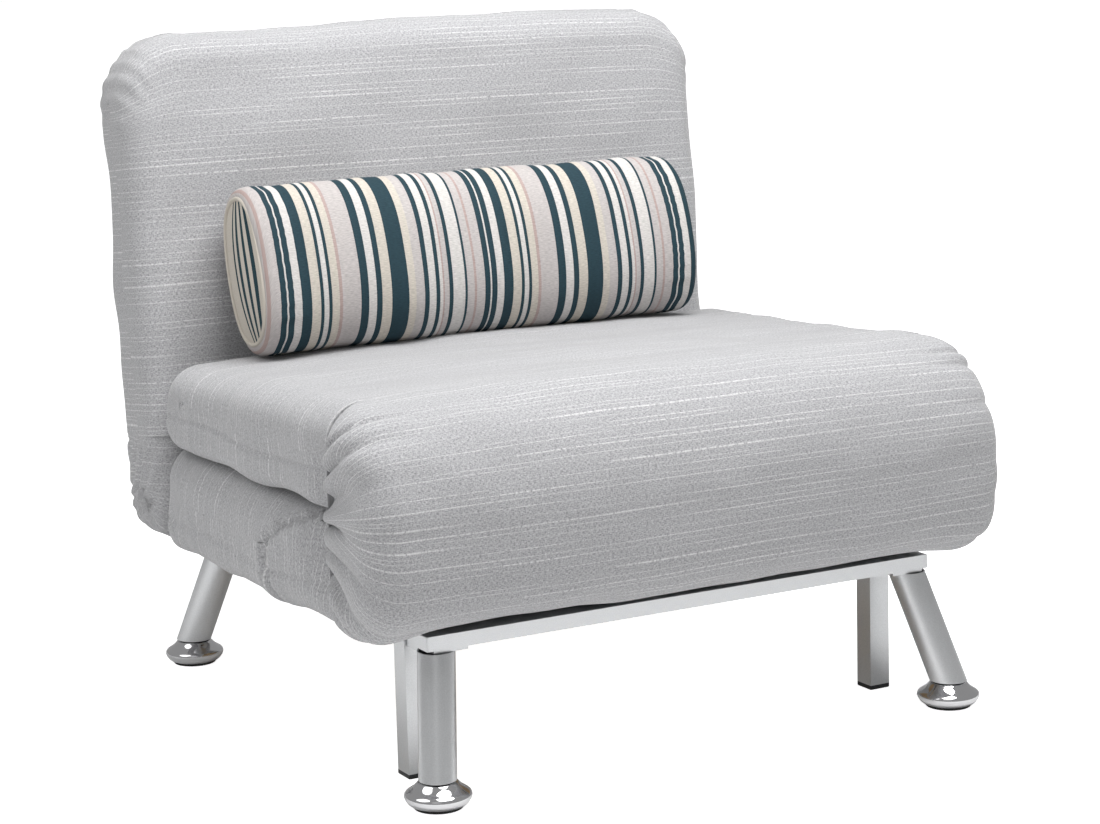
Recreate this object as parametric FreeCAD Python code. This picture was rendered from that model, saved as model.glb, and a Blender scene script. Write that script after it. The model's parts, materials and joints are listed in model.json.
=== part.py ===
import FreeCAD, Part
import os
from math import sin, cos, tan, radians

# Convertible chair bed: a folded mattress on a two-part steel frame.
# Millimetres. +X is on the right in a view from the front, -Y is the front, +Z is up.
# The origin lies on the floor under the centre of the folded chair.

Vector = FreeCAD.Vector

# Overall places
rail_front_y = -310.0        # front face of the front rail; every "back" size counts from here
floor_z = 0.0
overshoot = 1.0              # how far a cutting shape runs past what it cuts

# Mattress
mattress_width = 750.0
layer_thickness = 112.4      # one layer, cover included
layer_gap = 0.6              # between the two folded layers
mattress_bottom_z = 165.0
cover_thickness = 1.6
foam_gap = 0.3               # between foam and cover
edge_radius = 33.0           # rounding of the left and right edges
seat_crown = 7.0             # how far the seat stands up in the middle
crown_stations = (0.66, 0.33)  # where a crowned face is sliced, as shares of its half width
fold_back = 66.0             # start of the front fold
fold_lead = 1.0              # straight stretch of the fold before it turns
flap_end_back = 516.0        # the flap's free end
seat_end_back = 526.0        # the lower layer's rear end
flap_end_radius = 44.0
seat_end_radius = 20.0
fold_axis_back = -10.0       # the line the flap turns about
flap_fold_gap = 0.3
flap_rear_drop = 18.0        # how much lower the flap's top lies at its free end
fold_fullness = 0.62         # 1 gives a round front fold, less a fuller lower half
flat_within = 1e-7           # a facet that strays more from a plane is made of two triangles
least_flat = 0.5             # flat left between two rounded corners
corner_chords = 4            # straight chords to a quarter turn of a cushion's corner
fold_chords = 8              # the same in the front fold

# Backrest
lean = 6.0                   # degrees from upright
back_seat_gap = 2.0          # between the lower layer's end and the backrest's front face
back_front_half = 56.2       # from the hinge line to the front face
back_rear_low = 59.0         # from the hinge line to the rear face, at the bottom
back_rear_high = 46.0        # the same at the top
back_height = 518.0          # from the hinge line to the top edge
back_crown = 11.0
back_rear_crown = 6.0
back_cover_start = 60.0      # height above the hinge line where the backrest's cover starts
back_top_radius = 40.0
back_top_arch = 4.0          # how far the top edge falls from the middle to the sides
back_corner_start = 300.0    # from the middle to where the top corners start to fall
back_corner_drop = 40.0
back_foam_end_radius = 48.5  # round lower end of the foam
pocket_gap = 0.3             # round the frame inside the foam
knuckle_gap = 8.0            # foam cut back beside each hinge

# Loose cover behind the seat
back_fold_gap = 0.3          # below the backrest's cover
rear_fold_gap = 0.6          # behind the lower layer
rear_fold_bottom_z = 161.0
rear_fold_reach = 54.0       # how far it stands out behind the hinge line
rear_fold_radius = 46.0
slot_gap = 0.6               # beside each hinge plate
rear_fold_slot_drop = 20.0   # from the hinge line down to the top of the slots

# Frame
mattress_overhang = 72.5     # from the front rail's end to the mattress edge
rail_depth = 30.0
rail_height = 15.0
rail_bottom_z = 147.0
rail_wall = 1.5
side_rail_size = 26.0
side_rail_wall = 2.0
side_rail_inset = 18.5       # from the front rail's end to the middle of the side rail
side_rail_front_back = 62.5
rear_rail_front_back = 547.0
middle_leg_size = 25.0
middle_leg_wall = 1.5
runner_size = 21.0
runner_wall = 1.5
runner_end_back = 540.0
plug_grip = 16.0             # how far an end plug reaches into its tube
plug_gap = 0.2               # between a plug and the tube it fits
runner_plug_flange = 2.0
ledge_width = 24.0
ledge_thickness = 2.0
ledge_end_gap = 17.5         # the ledge is this much shorter than the rail, each side

# Slats
slat_count = 15
slat_gap = 4.0               # between neighbouring slats
slat_side_gap = 6.75         # between the side rail and the outermost slat
slat_thickness = 9.0
slat_edge_ease = 1.5
boot_wall = 1.2
boot_length = 22.0
mattress_rest_gap = 0.3
fixed_slat_setback = 2.0     # in front of the rear rail's rear face
glide_thickness = 0.9
glide_length = 30.0
glide_edge = 3.5             # slat width left bare on each side of a glide
sliding_slat_end_back = 535.0

# Legs and feet
leg_diameter = 38.0
leg_wall = 1.5
leg_inset = 17.5             # from the front rail's end to the leg's top centre
leg_splay = 24.0             # how far a leg's lower end stands out to the side
leg_bottom_forward = 42.5    # how far a leg's lower end stands out beyond its top
leg_bottom_z = 28.0
leg_plate_thickness = 3.0
leg_plate_inner = 28.0       # from the leg's top centre inwards
leg_plate_outer = 10.0       # from the leg's top centre outwards
leg_plug_depth = 14.0
foot_radius = 33.5
foot_rim_height = 5.0        # from the pad to the dome's widest place
foot_rim_inset = 2.5
foot_dome_top_z = 26.6
foot_crown_radius = 10.0     # flat top of the dome
foot_dome_chords = 3         # straight chords from the rim to the flat top
foot_pad_radius = 30.0
foot_pad_height = 5.0
stud_radius = 4.0
stud_top_z = 38.0
stud_clearance = 0.15
cap_flange = 5.0
cap_depth = 18.0
cap_ease = 0.8

# Reclining hinge
plate_thickness = 4.0
plate_gap = 0.4              # between the fixed plate and the moving arm
ratchet_radius = 40.0
notch_depth = 3.5
notch_floor_half = 2.9
notch_mouth_half = 4.2
recline_steps = 4
notch_pitch = 21.0           # degrees between notches; together they bring the backrest level
ratchet_foot_length = 70.0   # welded stretch along the side rail
ratchet_foot_reach = 6.0     # how far the foot passes behind the hinge line
ratchet_foot_gap = 0.5       # between the foot and the rear rail
ratchet_seat_gap = 3.0       # between the foot and the lower layer's end
ratchet_shoulder_y = 26.0
ratchet_shoulder_drop = 28.0
ratchet_neck_y = 36.0
ratchet_neck_drop = 16.0
pivot_radius = 5.0
pivot_clearance = 0.05
pivot_head_across = 16.0     # across the flats of the bolt's head and nut
pivot_head_thickness = 4.0
arm_width = 26.0
arm_boss_extra = 3.0         # how much wider the arm is round the pivot
arm_top = 170.0              # height of the arm's end above the hinge line
arm_end_radius = 10.0
pawl_pivot_n = -24.0         # pawl pin, from the hinge line towards the rear
pawl_pivot_s = 52.0          # pawl pin, above the hinge line
pawl_pin_radius = 3.0
pawl_head_across = 10.0
pawl_head_thickness = 2.0
pawl_head_gap = 0.4
pawl_boss_radius = 7.0
pawl_ear_reach = 8.0         # arm's ear beyond the pawl pin
pawl_ear_low = 14.0
pawl_ear_high = 26.0
pawl_lift = 10.0             # degrees from engaged to lifted
tooth_tip = 37.0             # engaged tooth's tip, above the hinge line
tooth_half = 2.2
tooth_root_half = 4.5
tooth_height = 6.0
pawl_back_height = 13.0

# Frame inside the backrest
back_tube_size = 22.0
back_tube_wall = 1.5
back_tube_start = 46.0
back_frame_top = 470.0       # middle of the top bar above the hinge line
back_cross_size = 18.0
back_cross_gap = 5.0         # between the arms' upper ends and the cross bar
webbing_thickness = 2.0
webbing_width = 48.0
webbing_count = 4
webbing_start_gap = 8.0      # between the cross bar and the lowest strap
webbing_pitch = 61.0
webbing_gap = 0.2

# Bolster pillow
pillow_length = 572.0
pillow_height = 188.0
pillow_depth = 116.0
pillow_back = 470.0          # middle of the pillow
pillow_x = -3.0
pillow_tilt = 16.0
pillow_fullness = 0.86       # 1 gives a true ellipse, less a fuller oval
pillow_points = 20
pillow_end_radius = 14.0     # rounding between the long side and the ends
pillow_end_bulge = 9.0
pillow_end_panel = 22.0      # inset of the panel where the end is furthest out
pillow_middle_swell = 1.0
pillow_cover_thickness = 1.2
pillow_rest_gap = 0.5         # above the seat under the pillow's front edge
pillow_front_reach = 40.0    # how far in front of its middle the pillow touches the seat

# Places that follow from the sizes above
foam_skin = cover_thickness + foam_gap
half_width = mattress_width / 2
seat_top_z = mattress_bottom_z + layer_thickness
flap_bottom_z = seat_top_z + layer_gap
flap_top_z = flap_bottom_z + layer_thickness
fold_z = seat_top_z + layer_gap / 2
fold_y = rail_front_y + fold_back
fold_front_y = fold_y - fold_lead - layer_thickness - layer_gap / 2
seat_end_y = rail_front_y + seat_end_back
flap_end_y = rail_front_y + flap_end_back
fold_axis = Vector(0, rail_front_y + fold_axis_back, fold_z + seat_crown / 2)
hinge_z = fold_z - back_front_half
hinge_y = seat_end_y + back_seat_gap + back_front_half * (1 / cos(radians(lean)) - tan(radians(lean)))
hinge = Vector(0, hinge_y, hinge_z)
rail_top_z = rail_bottom_z + rail_height
cross_rail_top_z = mattress_bottom_z - mattress_rest_gap - slat_thickness - 2 * boot_wall
cross_rail_bottom_z = cross_rail_top_z - rail_height
slat_bottom_z = cross_rail_top_z + boot_wall
slat_top_z = slat_bottom_z + slat_thickness
side_rail_bottom_z = rail_top_z - side_rail_size
side_rail_front_y = rail_front_y + side_rail_front_back
rear_rail_front_y = rail_front_y + rear_rail_front_back
rail_length = mattress_width - 2 * mattress_overhang
side_rail_centre_x = rail_length / 2 - side_rail_inset
side_rail_inner_x = side_rail_centre_x - side_rail_size / 2
side_rail_outer_x = side_rail_centre_x + side_rail_size / 2
leg_top_x = rail_length / 2 - leg_inset
leg_bottom_x = leg_top_x + leg_splay
slat_room = 2 * (side_rail_inner_x - slat_side_gap)
slat_pitch = (slat_room + slat_gap) / slat_count
slat_width = slat_pitch - slat_gap
fixed_plate_x = side_rail_inner_x - plate_thickness
arm_x = side_rail_inner_x + plate_gap
back_tube_low_x = arm_x + plate_thickness
back_tube_high_x = back_tube_low_x + back_tube_size
back_cross_height = arm_top + back_cross_gap + back_cross_size / 2


def export(name, solids):
    """Write one sub-part, given as a solid or a list of solids."""
    shape = Part.Compound(solids) if isinstance(solids, list) else solids
    shape.exportStep("parts/" + name + ".step")


def box(x_low, x_high, y_low, y_high, z_low, z_high):
    size = (x_high - x_low, y_high - y_low, z_high - z_low)
    return Part.makeBox(*size, Vector(x_low, y_low, z_low))


def box_tube(low, high, wall, along):
    """A rectangular tube between two corners, open at both ends of axis number along."""
    inner_low = [place + wall for place in low]
    inner_high = [place - wall for place in high]
    inner_low[along] = low[along] - overshoot
    inner_high[along] = high[along] + overshoot
    outer = box(low[0], high[0], low[1], high[1], low[2], high[2])
    return outer.cut(box(inner_low[0], inner_high[0], inner_low[1], inner_high[1], inner_low[2], inner_high[2]))


def rod(radius, start, end):
    """A round bar between two points."""
    along = end - start
    return Part.makeCylinder(radius, along.Length, start, along)


def hexagon(x, y, z, across, thickness):
    """A six-sided bolt head or nut whose faces lie at x and x + thickness."""
    reach = across / 2 / cos(radians(30))
    points = []
    for corner in range(6):
        turn = radians(60 * corner)
        points.append((y + reach * cos(turn), z + reach * sin(turn)))
    return flat_plate(x, points, thickness)


def flat_plate(x, points, thickness):
    """A plate cut to the outline (y, z) whose faces lie at x and x + thickness."""
    corners = [Vector(x, y, z) for y, z in points]
    return Part.Face(Part.makePolygon(corners + corners[:1])).extrude(Vector(thickness, 0, 0))


def mirrored(shape):
    """The same shape on the other side of the chair."""
    return shape.mirror(Vector(0, 0, 0), Vector(1, 0, 0))


def both_sides(name, shape):
    """Write a piece built at +X as the right-hand one, and its twin as the left-hand one."""
    export(name + "_left", mirrored(shape))
    export(name + "_right", shape)


# Padded pieces

def drawn_out(value, fullness):
    """A sine or cosine pushed away from zero, which makes a circle squarer; fullness 1 leaves it."""
    return (1 if value >= 0 else -1) * abs(value) ** fullness


def turn_points(centre, radius, start_angle, end_angle, chords, fullness=1.0):
    """Points (y, z) of a round stretch; angles in degrees from +Y towards +Z."""
    points = []
    for step in range(chords + 1):
        angle = radians(start_angle + (end_angle - start_angle) * step / chords)
        points.append((centre[0] + radius * drawn_out(cos(angle), fullness),
                       centre[1] + radius * drawn_out(sin(angle), fullness)))
    return points


def section(x, points):
    """A closed slice of a padded piece in the plane of constant X."""
    corners = [Vector(x, y, z) for y, z in points]
    return Part.makePolygon(corners + corners[:1])


def padded_solid(sections):
    """A solid through closed slices, straight from each to the next, made of flat facets."""
    facets = []
    for face in Part.makeLoft(sections, True, True).Faces:
        corners = [vertex.Point for vertex in face.OuterWire.OrderedVertexes]
        outlines = [corners]
        if Part.makePolygon(corners + corners[:1]).findPlane(flat_within) is None:
            outlines = [corners[:3], corners[2:] + corners[:1]]
        for outline in outlines:
            facets.append(Part.Face(Part.makePolygon(outline + outline[:1])))
    skin = Part.Compound(facets)
    skin.sewShape()
    solid = Part.Solid(skin.Shells[0])
    if solid.Volume < 0:
        solid.reverse()
    return solid


def edge_stations(skin):
    """Where a cushion is sliced along X: (x, inset of the slice, share of the crown)."""
    radius = edge_radius - skin
    flat = half_width - edge_radius
    right = []
    for angle in (90, 60, 30, 0):
        turn = radians(angle)
        right.append((flat + radius * sin(turn), radius * (1 - cos(turn)), 0.0))
    for share in crown_stations:
        right.append((flat * share, 0.0, 1 - share ** 2))
    left = [(-x, inset, crown) for x, inset, crown in right]
    return left + [(0.0, 0.0, 1.0)] + right[::-1]


def layer_pad(front_y, end_y, low_z, high_z, end_radius, crown, drop, skin):
    """A mattress layer drawn in by skin on every side but the one at the fold."""
    radius = end_radius - skin
    sections = []
    for x, inset, share in edge_stations(skin):
        top = high_z - skin - inset + crown * share
        low = low_z + skin + inset
        end = end_y - skin - inset
        rear_top = top - drop
        corner = min(radius, (rear_top - low) / 2 - least_flat)
        points = [(front_y, top), (front_y, low)]
        points += turn_points((end - corner, low + corner), corner, -90, 0, corner_chords)
        points += turn_points((end - corner, rear_top - corner), corner, 0, 90, corner_chords)
        sections.append(section(x, points))
    return padded_solid(sections)


def fold_pad(back_y, skin):
    """The half-round fold at the front, flat where it meets the two layers."""
    sections = []
    for x, inset, share in edge_stations(skin):
        top = flap_top_z - skin - inset + seat_crown * share
        low = mattress_bottom_z + skin + inset
        front = fold_front_y + skin + inset - seat_crown * share
        high_centre = (front + top - fold_z, fold_z)
        low_centre = (front + fold_z - low, fold_z)
        points = [(back_y, low), (back_y, top)]
        points += turn_points(high_centre, top - fold_z, 90, 180, fold_chords)
        points += turn_points(low_centre, fold_z - low, 180, 270, fold_chords, fold_fullness)[1:]
        sections.append(section(x, points))
    return padded_solid(sections)


def back_pad(skin, bottom):
    """The backrest in its own upright frame: the hinge line is at the origin, Y is towards the rear."""
    sections = []
    for x, inset, share in edge_stations(skin):
        corner = max(0.0, abs(x) - back_corner_start) / (half_width - back_corner_start)
        top = back_height - skin - back_top_arch * (x / half_width) ** 2 - back_corner_drop * corner ** 2
        draw = skin + inset
        front = -back_front_half - back_crown * share + draw
        rear_crown = back_rear_crown * share
        rear_low = back_rear_low + rear_crown - draw
        rear_high = back_rear_high + rear_crown - draw
        radius = min(back_top_radius - skin, (rear_high - front) / 2 - least_flat)
        points = [(rear_low, bottom), (front, bottom)]
        points += turn_points((front + radius, top - radius), radius, 180, 90, corner_chords)
        points += turn_points((rear_high - radius, top - radius), radius, 90, 0, corner_chords)
        sections.append(section(x, points))
    return padded_solid(sections)


def on_back(n, s):
    """A place of the backrest's own frame, n towards the rear and s upwards, as (y, z) on the chair."""
    slope = radians(lean)
    return hinge_y + s * sin(slope) + n * cos(slope), hinge_z + s * cos(slope) - n * sin(slope)


def leaned(shape):
    """Move a shape from the backrest's own upright frame to its place on the chair."""
    placed = shape.copy()
    placed.rotate(Vector(0, 0, 0), Vector(1, 0, 0), -lean)
    placed.translate(hinge)
    return placed


def lower_layer():
    outer = layer_pad(fold_y, seat_end_y, mattress_bottom_z, seat_top_z, seat_end_radius, 0.0, 0.0, 0.0)
    hollow = layer_pad(fold_y - overshoot, seat_end_y, mattress_bottom_z, seat_top_z,
                       seat_end_radius, 0.0, 0.0, cover_thickness)
    foam = layer_pad(fold_y, seat_end_y, mattress_bottom_z, seat_top_z, seat_end_radius, 0.0, 0.0, foam_skin)
    export("seat_cover", outer.cut(hollow))
    export("seat_foam", foam)


def upper_layer():
    start = fold_y + flap_fold_gap
    outer = layer_pad(start, flap_end_y, flap_bottom_z, flap_top_z,
                      flap_end_radius, seat_crown, flap_rear_drop, 0.0)
    hollow = layer_pad(start - overshoot, flap_end_y, flap_bottom_z, flap_top_z,
                       flap_end_radius, seat_crown, flap_rear_drop, cover_thickness)
    foam = layer_pad(start, flap_end_y, flap_bottom_z, flap_top_z,
                     flap_end_radius, seat_crown, flap_rear_drop, foam_skin)
    export("flap_cover", outer.cut(hollow))
    export("flap_foam", foam)


def front_fold():
    export("front_fold_cover", fold_pad(fold_y, 0.0).cut(fold_pad(fold_y + overshoot, cover_thickness)))
    export("front_fold_foam", fold_pad(fold_y, foam_skin))


def backrest_pads():
    cover = back_pad(0.0, back_cover_start).cut(back_pad(cover_thickness, back_cover_start - overshoot))
    export("backrest_cover", leaned(cover))

    foam = back_pad(foam_skin, back_cover_start)
    radius = back_foam_end_radius
    end_width = half_width - edge_radius
    foot = box(-end_width, end_width, -radius, radius, 0, back_cover_start)
    end = rod(radius, Vector(-end_width, 0, 0), Vector(end_width, 0, 0))
    foam = foam.fuse([foot, end])
    knuckle_x = fixed_plate_x - knuckle_gap
    knuckle = box(knuckle_x, back_tube_high_x + pocket_gap, -half_width, half_width,
                  -half_width, pawl_pivot_s + pawl_ear_high + pocket_gap)
    half_pocket = back_tube_size / 2 + webbing_gap + webbing_thickness + pocket_gap
    pocket_x = back_tube_high_x + webbing_gap + webbing_thickness + pocket_gap
    pocket = box(-pocket_x, pocket_x, -half_pocket, half_pocket, back_tube_start,
                 back_frame_top + back_tube_size / 2 + pocket_gap)
    export("backrest_foam", leaned(foam.cut([knuckle, mirrored(knuckle), pocket])))


def rear_fold_bag(skin, lift):
    """The loose cover behind the seat, which hangs round the lower end of the backrest."""
    top = back_cover_start - back_fold_gap + lift
    sections = []
    for x, inset, share in edge_stations(skin):
        draw = inset + skin
        low = mattress_bottom_z + rear_fold_gap + draw
        sag = rear_fold_bottom_z + draw
        rear = hinge_y + rear_fold_reach - draw
        radius = rear_fold_radius - skin
        points = [on_back(skin - back_front_half, top), (seat_end_y + rear_fold_gap + skin, low)]
        points.append((rear_rail_front_y + rail_depth, low))
        points += turn_points((rear - radius, sag + radius), radius, 270, 360, corner_chords)
        points.append(on_back(back_rear_low - draw, top))
        sections.append(section(x, points))
    return padded_solid(sections)


def rear_fold():
    """The cover's stretch from the lower layer to the backrest, with slots for the hinge plates."""
    shell = rear_fold_bag(0.0, 0.0).cut(rear_fold_bag(cover_thickness, overshoot))
    slot = box(fixed_plate_x - slot_gap, side_rail_inner_x + slot_gap, seat_end_y, hinge_y + ratchet_shoulder_y,
               cross_rail_top_z, hinge_z - rear_fold_slot_drop)
    export("rear_fold_cover", shell.cut([slot, mirrored(slot)]))


# Fixed frame

def cross_tube(front_y, bottom_z, length):
    """A flat rectangular tube across the chair."""
    low = (-length / 2, front_y, bottom_z)
    high = (length / 2, front_y + rail_depth, bottom_z + rail_height)
    return box_tube(low, high, rail_wall, 0)


def fixed_frame():
    low = (side_rail_inner_x, side_rail_front_y, side_rail_bottom_z)
    high = (side_rail_outer_x, rear_rail_front_y, rail_top_z)
    both_sides("side_rail", box_tube(low, high, side_rail_wall, 1))
    export("rear_cross_rail", cross_tube(rear_rail_front_y, cross_rail_bottom_z, rail_length))
    low = (-side_rail_inner_x, side_rail_front_y, cross_rail_bottom_z)
    high = (side_rail_inner_x, side_rail_front_y + middle_leg_size, cross_rail_top_z)
    export("middle_cross_rail", box_tube(low, high, rail_wall, 0))


def middle_legs():
    half = middle_leg_size / 2
    x = side_rail_centre_x
    y = side_rail_front_y + half
    low = (x - half, y - half, cap_flange)
    high = (x + half, y + half, side_rail_bottom_z)
    both_sides("middle_leg", box_tube(low, high, middle_leg_wall, 2))

    grip = half - middle_leg_wall - plug_gap
    flange = box(x - half, x + half, y - half, y + half, floor_z, cap_flange)
    flange = flange.makeChamfer(cap_ease, [e for e in flange.Edges if e.BoundBox.ZMax < floor_z + cap_ease])
    body = box(x - grip, x + grip, y - grip, y + grip, cap_flange - overshoot, cap_flange + cap_depth)
    both_sides("middle_leg_cap", flange.fuse(body).removeSplitter())


def leg_ends(outward, top_z):
    """A leg's two end centres; outward is -1 at the front and 1 at the rear."""
    return Vector(leg_top_x, 0, top_z), Vector(leg_bottom_x, outward * leg_bottom_forward, leg_bottom_z)


def level_slice(bar, bottom, top):
    """What lies of a slanted bar between two levels."""
    room = bar.BoundBox
    return bar.common(box(room.XMin, room.XMax, room.YMin, room.YMax, bottom, top))


def slanted_bar(radius, top, bottom):
    """A bar along the leg's axis, longer than the leg by its own diameter at each end."""
    along = bottom - top
    along.normalize()
    return rod(radius, top - along * leg_diameter, bottom + along * leg_diameter)


def leg_set(which, top_y, top_z, outward):
    """Both legs of one end of the frame with their plates, plugs and feet."""
    plate_low = top_z - leg_plate_thickness
    shift = Vector(0, top_y, 0)
    top, bottom = leg_ends(outward, plate_low)
    top, bottom = top + shift, bottom + shift
    outer = slanted_bar(leg_diameter / 2, top, bottom)
    bore = slanted_bar(leg_diameter / 2 - leg_wall, top, bottom)
    leg = level_slice(outer.cut(bore), bottom.z, top.z)
    export(which + "_legs", [mirrored(leg), leg])

    plate = box(leg_top_x - leg_plate_inner, leg_top_x + leg_plate_outer,
                top_y - rail_depth / 2, top_y + rail_depth / 2, plate_low, top_z)
    export(which + "_leg_plates", [mirrored(plate), plate])

    core = slanted_bar(leg_diameter / 2 - leg_wall - plug_gap, top, bottom)
    stud_axis = Vector(bottom.x, bottom.y, floor_z)
    stud_hole = rod(stud_radius + stud_clearance, stud_axis, stud_axis + Vector(0, 0, top_z))
    plug = level_slice(core, bottom.z, bottom.z + leg_plug_depth).cut(stud_hole)
    export(which + "_leg_plugs", [mirrored(plug), plug])

    foot = foot_dome(bottom.x, bottom.y)
    export(which + "_feet", [mirrored(foot), foot])
    pad = foot_pad(bottom.x, bottom.y)
    export(which + "_foot_pads", [mirrored(pad), pad])


def foot_dome(x, y):
    """Domed steel foot with the stud that holds it in the leg's plug, turned from one outline."""
    low = floor_z + foot_pad_height
    rim_z = low + foot_rim_height
    corners = [Vector(foot_radius - foot_rim_inset, 0, low)]
    for step in range(foot_dome_chords + 1):
        turn = radians(90 * step / foot_dome_chords)
        corners.append(Vector(foot_crown_radius + (foot_radius - foot_crown_radius) * cos(turn), 0,
                              rim_z + (foot_dome_top_z - rim_z) * sin(turn)))
    corners += [Vector(stud_radius, 0, foot_dome_top_z), Vector(stud_radius, 0, stud_top_z),
                Vector(0, 0, stud_top_z), Vector(0, 0, low)]
    outline = Part.makePolygon(corners + corners[:1])
    turned = Part.Face(outline).revolve(Vector(0, 0, 0), Vector(0, 0, 1), 360)
    turned.translate(Vector(x, y, 0))
    return turned


def foot_pad(x, y):
    """Rubber disc bonded under the foot."""
    return Part.makeCylinder(foot_pad_radius, foot_pad_height, Vector(x, y, floor_z))


# Slats

def slat_places(fixed):
    """Middles of the slats along X: the fixed ones lie between the sliding ones."""
    middle = (slat_count - 1) / 2
    wanted = 1 if fixed else 0
    return [(i - middle) * slat_pitch for i in range(slat_count) if i % 2 == wanted]


def slat(x, front_y, end_y):
    board = box(x - slat_width / 2, x + slat_width / 2, front_y, end_y, slat_bottom_z, slat_top_z)
    long_edges = [e for e in board.Edges if e.BoundBox.YLength > slat_width * 2]
    return board.makeChamfer(slat_edge_ease, long_edges)


def boot(x, front_y, end_y, open_front):
    """Plastic boot over a slat's end, closed on the outside."""
    wall = boot_wall
    half = slat_width / 2
    outer = box(x - half - wall, x + half + wall, front_y, end_y, slat_bottom_z - wall, slat_top_z + wall)
    if open_front:
        hollow = box(x - half, x + half, front_y - overshoot, end_y - wall, slat_bottom_z, slat_top_z)
    else:
        hollow = box(x - half, x + half, front_y + wall, end_y + overshoot, slat_bottom_z, slat_top_z)
    return outer.cut(hollow)


def fixed_slats():
    front = side_rail_front_y
    end = rear_rail_front_y + rail_depth - fixed_slat_setback
    boards = []
    boots = []
    for x in slat_places(True):
        boards.append(slat(x, front + boot_wall, end - boot_wall))
        boots.append(boot(x, front, front + boot_length, False))
        boots.append(boot(x, end - boot_length, end, True))
    export("fixed_slats", boards)
    export("fixed_slat_boots", boots)


def sliding_slats():
    """Slats that travel with the front rail: screwed to its ledge and gliding on the middle rail."""
    front = rail_front_y + rail_depth
    end = rail_front_y + sliding_slat_end_back
    half = min(rail_length / 2 - ledge_end_gap, side_rail_centre_x - runner_size / 2 - slot_gap)
    shelf = box(-half, half, front, front + ledge_width, cross_rail_top_z - ledge_thickness, cross_rail_top_z)
    web = box(-half, half, front, front + ledge_thickness, rail_bottom_z, cross_rail_top_z)
    export("slat_ledge", shelf.fuse(web).removeSplitter())
    boards = []
    boots = []
    glides = []
    glide_half = slat_width / 2 - glide_edge
    for x in slat_places(False):
        boards.append(slat(x, front + boot_wall, end))
        boots.append(boot(x, front, front + boot_length, False))
        glides.append(box(x - glide_half, x + glide_half, end - glide_length, end,
                          slat_bottom_z - glide_thickness, slat_bottom_z))
    export("sliding_slats", boards)
    export("sliding_slat_boots", boots)
    export("slat_glides", glides)


# Pull-out frame

def front_rail():
    face_thickness = rail_wall
    tube_length = rail_length - 2 * face_thickness
    export("front_rail", cross_tube(rail_front_y, rail_bottom_z, tube_length))
    end = tube_length / 2
    inset = rail_wall + plug_gap
    face = box(end, end + face_thickness, rail_front_y, rail_front_y + rail_depth, rail_bottom_z, rail_top_z)
    grip = box(end - plug_grip, end, rail_front_y + inset, rail_front_y + rail_depth - inset,
               rail_bottom_z + inset, rail_top_z - inset)
    cap = face.fuse(grip)
    export("front_rail_end_caps", [mirrored(cap), cap])


def runners():
    """Tubes that slide inside the side rails, cut away round the legs and closed at their rear ends."""
    half = runner_size / 2
    x = side_rail_centre_x
    z = side_rail_bottom_z + side_rail_size / 2
    start = rail_front_y + rail_depth
    stop = rail_front_y + runner_end_back
    tube = box_tube((x - half, start, z - half), (x + half, stop, z + half), runner_wall, 1)
    top, bottom = leg_ends(-1, rail_bottom_z - leg_plate_thickness)
    leg_reach = leg_diameter / 2 * (top - bottom).Length / (top.z - bottom.z)
    leg_room = box(x - side_rail_size, x + side_rail_size, rail_front_y,
                   rail_front_y + rail_depth / 2 + leg_reach + slot_gap, floor_z, rail_bottom_z)
    both_sides("runner", tube.cut(leg_room))

    grip = half - runner_wall - plug_gap
    face = box(x - half, x + half, stop, stop + runner_plug_flange, z - half, z + half)
    body = box(x - grip, x + grip, stop - plug_grip, stop, z - grip, z + grip)
    plug = face.fuse(body)
    export("runner_end_plugs", [mirrored(plug), plug])


# Reclining hinge, drawn in the backrest's own frame

def ratchet_plates():
    """Fixed plate: a notched disc on a foot that is welded to the side rail."""
    x = fixed_plate_x
    disc = rod(ratchet_radius, Vector(x, 0, 0), Vector(x + plate_thickness, 0, 0))
    floor_s = ratchet_radius - notch_depth
    mouth_s = ratchet_radius + overshoot
    outline = [(-notch_floor_half, floor_s), (-notch_mouth_half, mouth_s),
               (notch_mouth_half, mouth_s), (notch_floor_half, floor_s)]
    for step in range(recline_steps + 1):
        notch = flat_plate(x, outline, plate_thickness)
        notch.rotate(Vector(0, 0, 0), Vector(1, 0, 0), -step * notch_pitch)
        disc = disc.cut(notch)

    front_y = seat_end_y + ratchet_seat_gap
    weld_y = rear_rail_front_y - ratchet_foot_length
    rear_y = rear_rail_front_y - ratchet_foot_gap
    low_z = side_rail_bottom_z + side_rail_wall
    weld_top = mattress_bottom_z - ratchet_foot_gap
    over_rail = cross_rail_top_z + ratchet_foot_gap
    foot = flat_plate(x, [(weld_y, low_z), (rear_y, low_z), (rear_y, over_rail),
                          (hinge_y + ratchet_foot_reach, over_rail),
                          (hinge_y + ratchet_shoulder_y, hinge_z - ratchet_shoulder_drop),
                          (hinge_y - ratchet_neck_y, hinge_z - ratchet_neck_drop),
                          (front_y, hinge_z - ratchet_shoulder_drop), (front_y, weld_top),
                          (weld_y, weld_top)], plate_thickness)
    pin = rod(pivot_radius + pivot_clearance, hinge + Vector(x - overshoot, 0, 0), hinge + Vector(arm_x, 0, 0))
    both_sides("ratchet_plate", leaned(disc).fuse(foot).removeSplitter().cut(pin))


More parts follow.
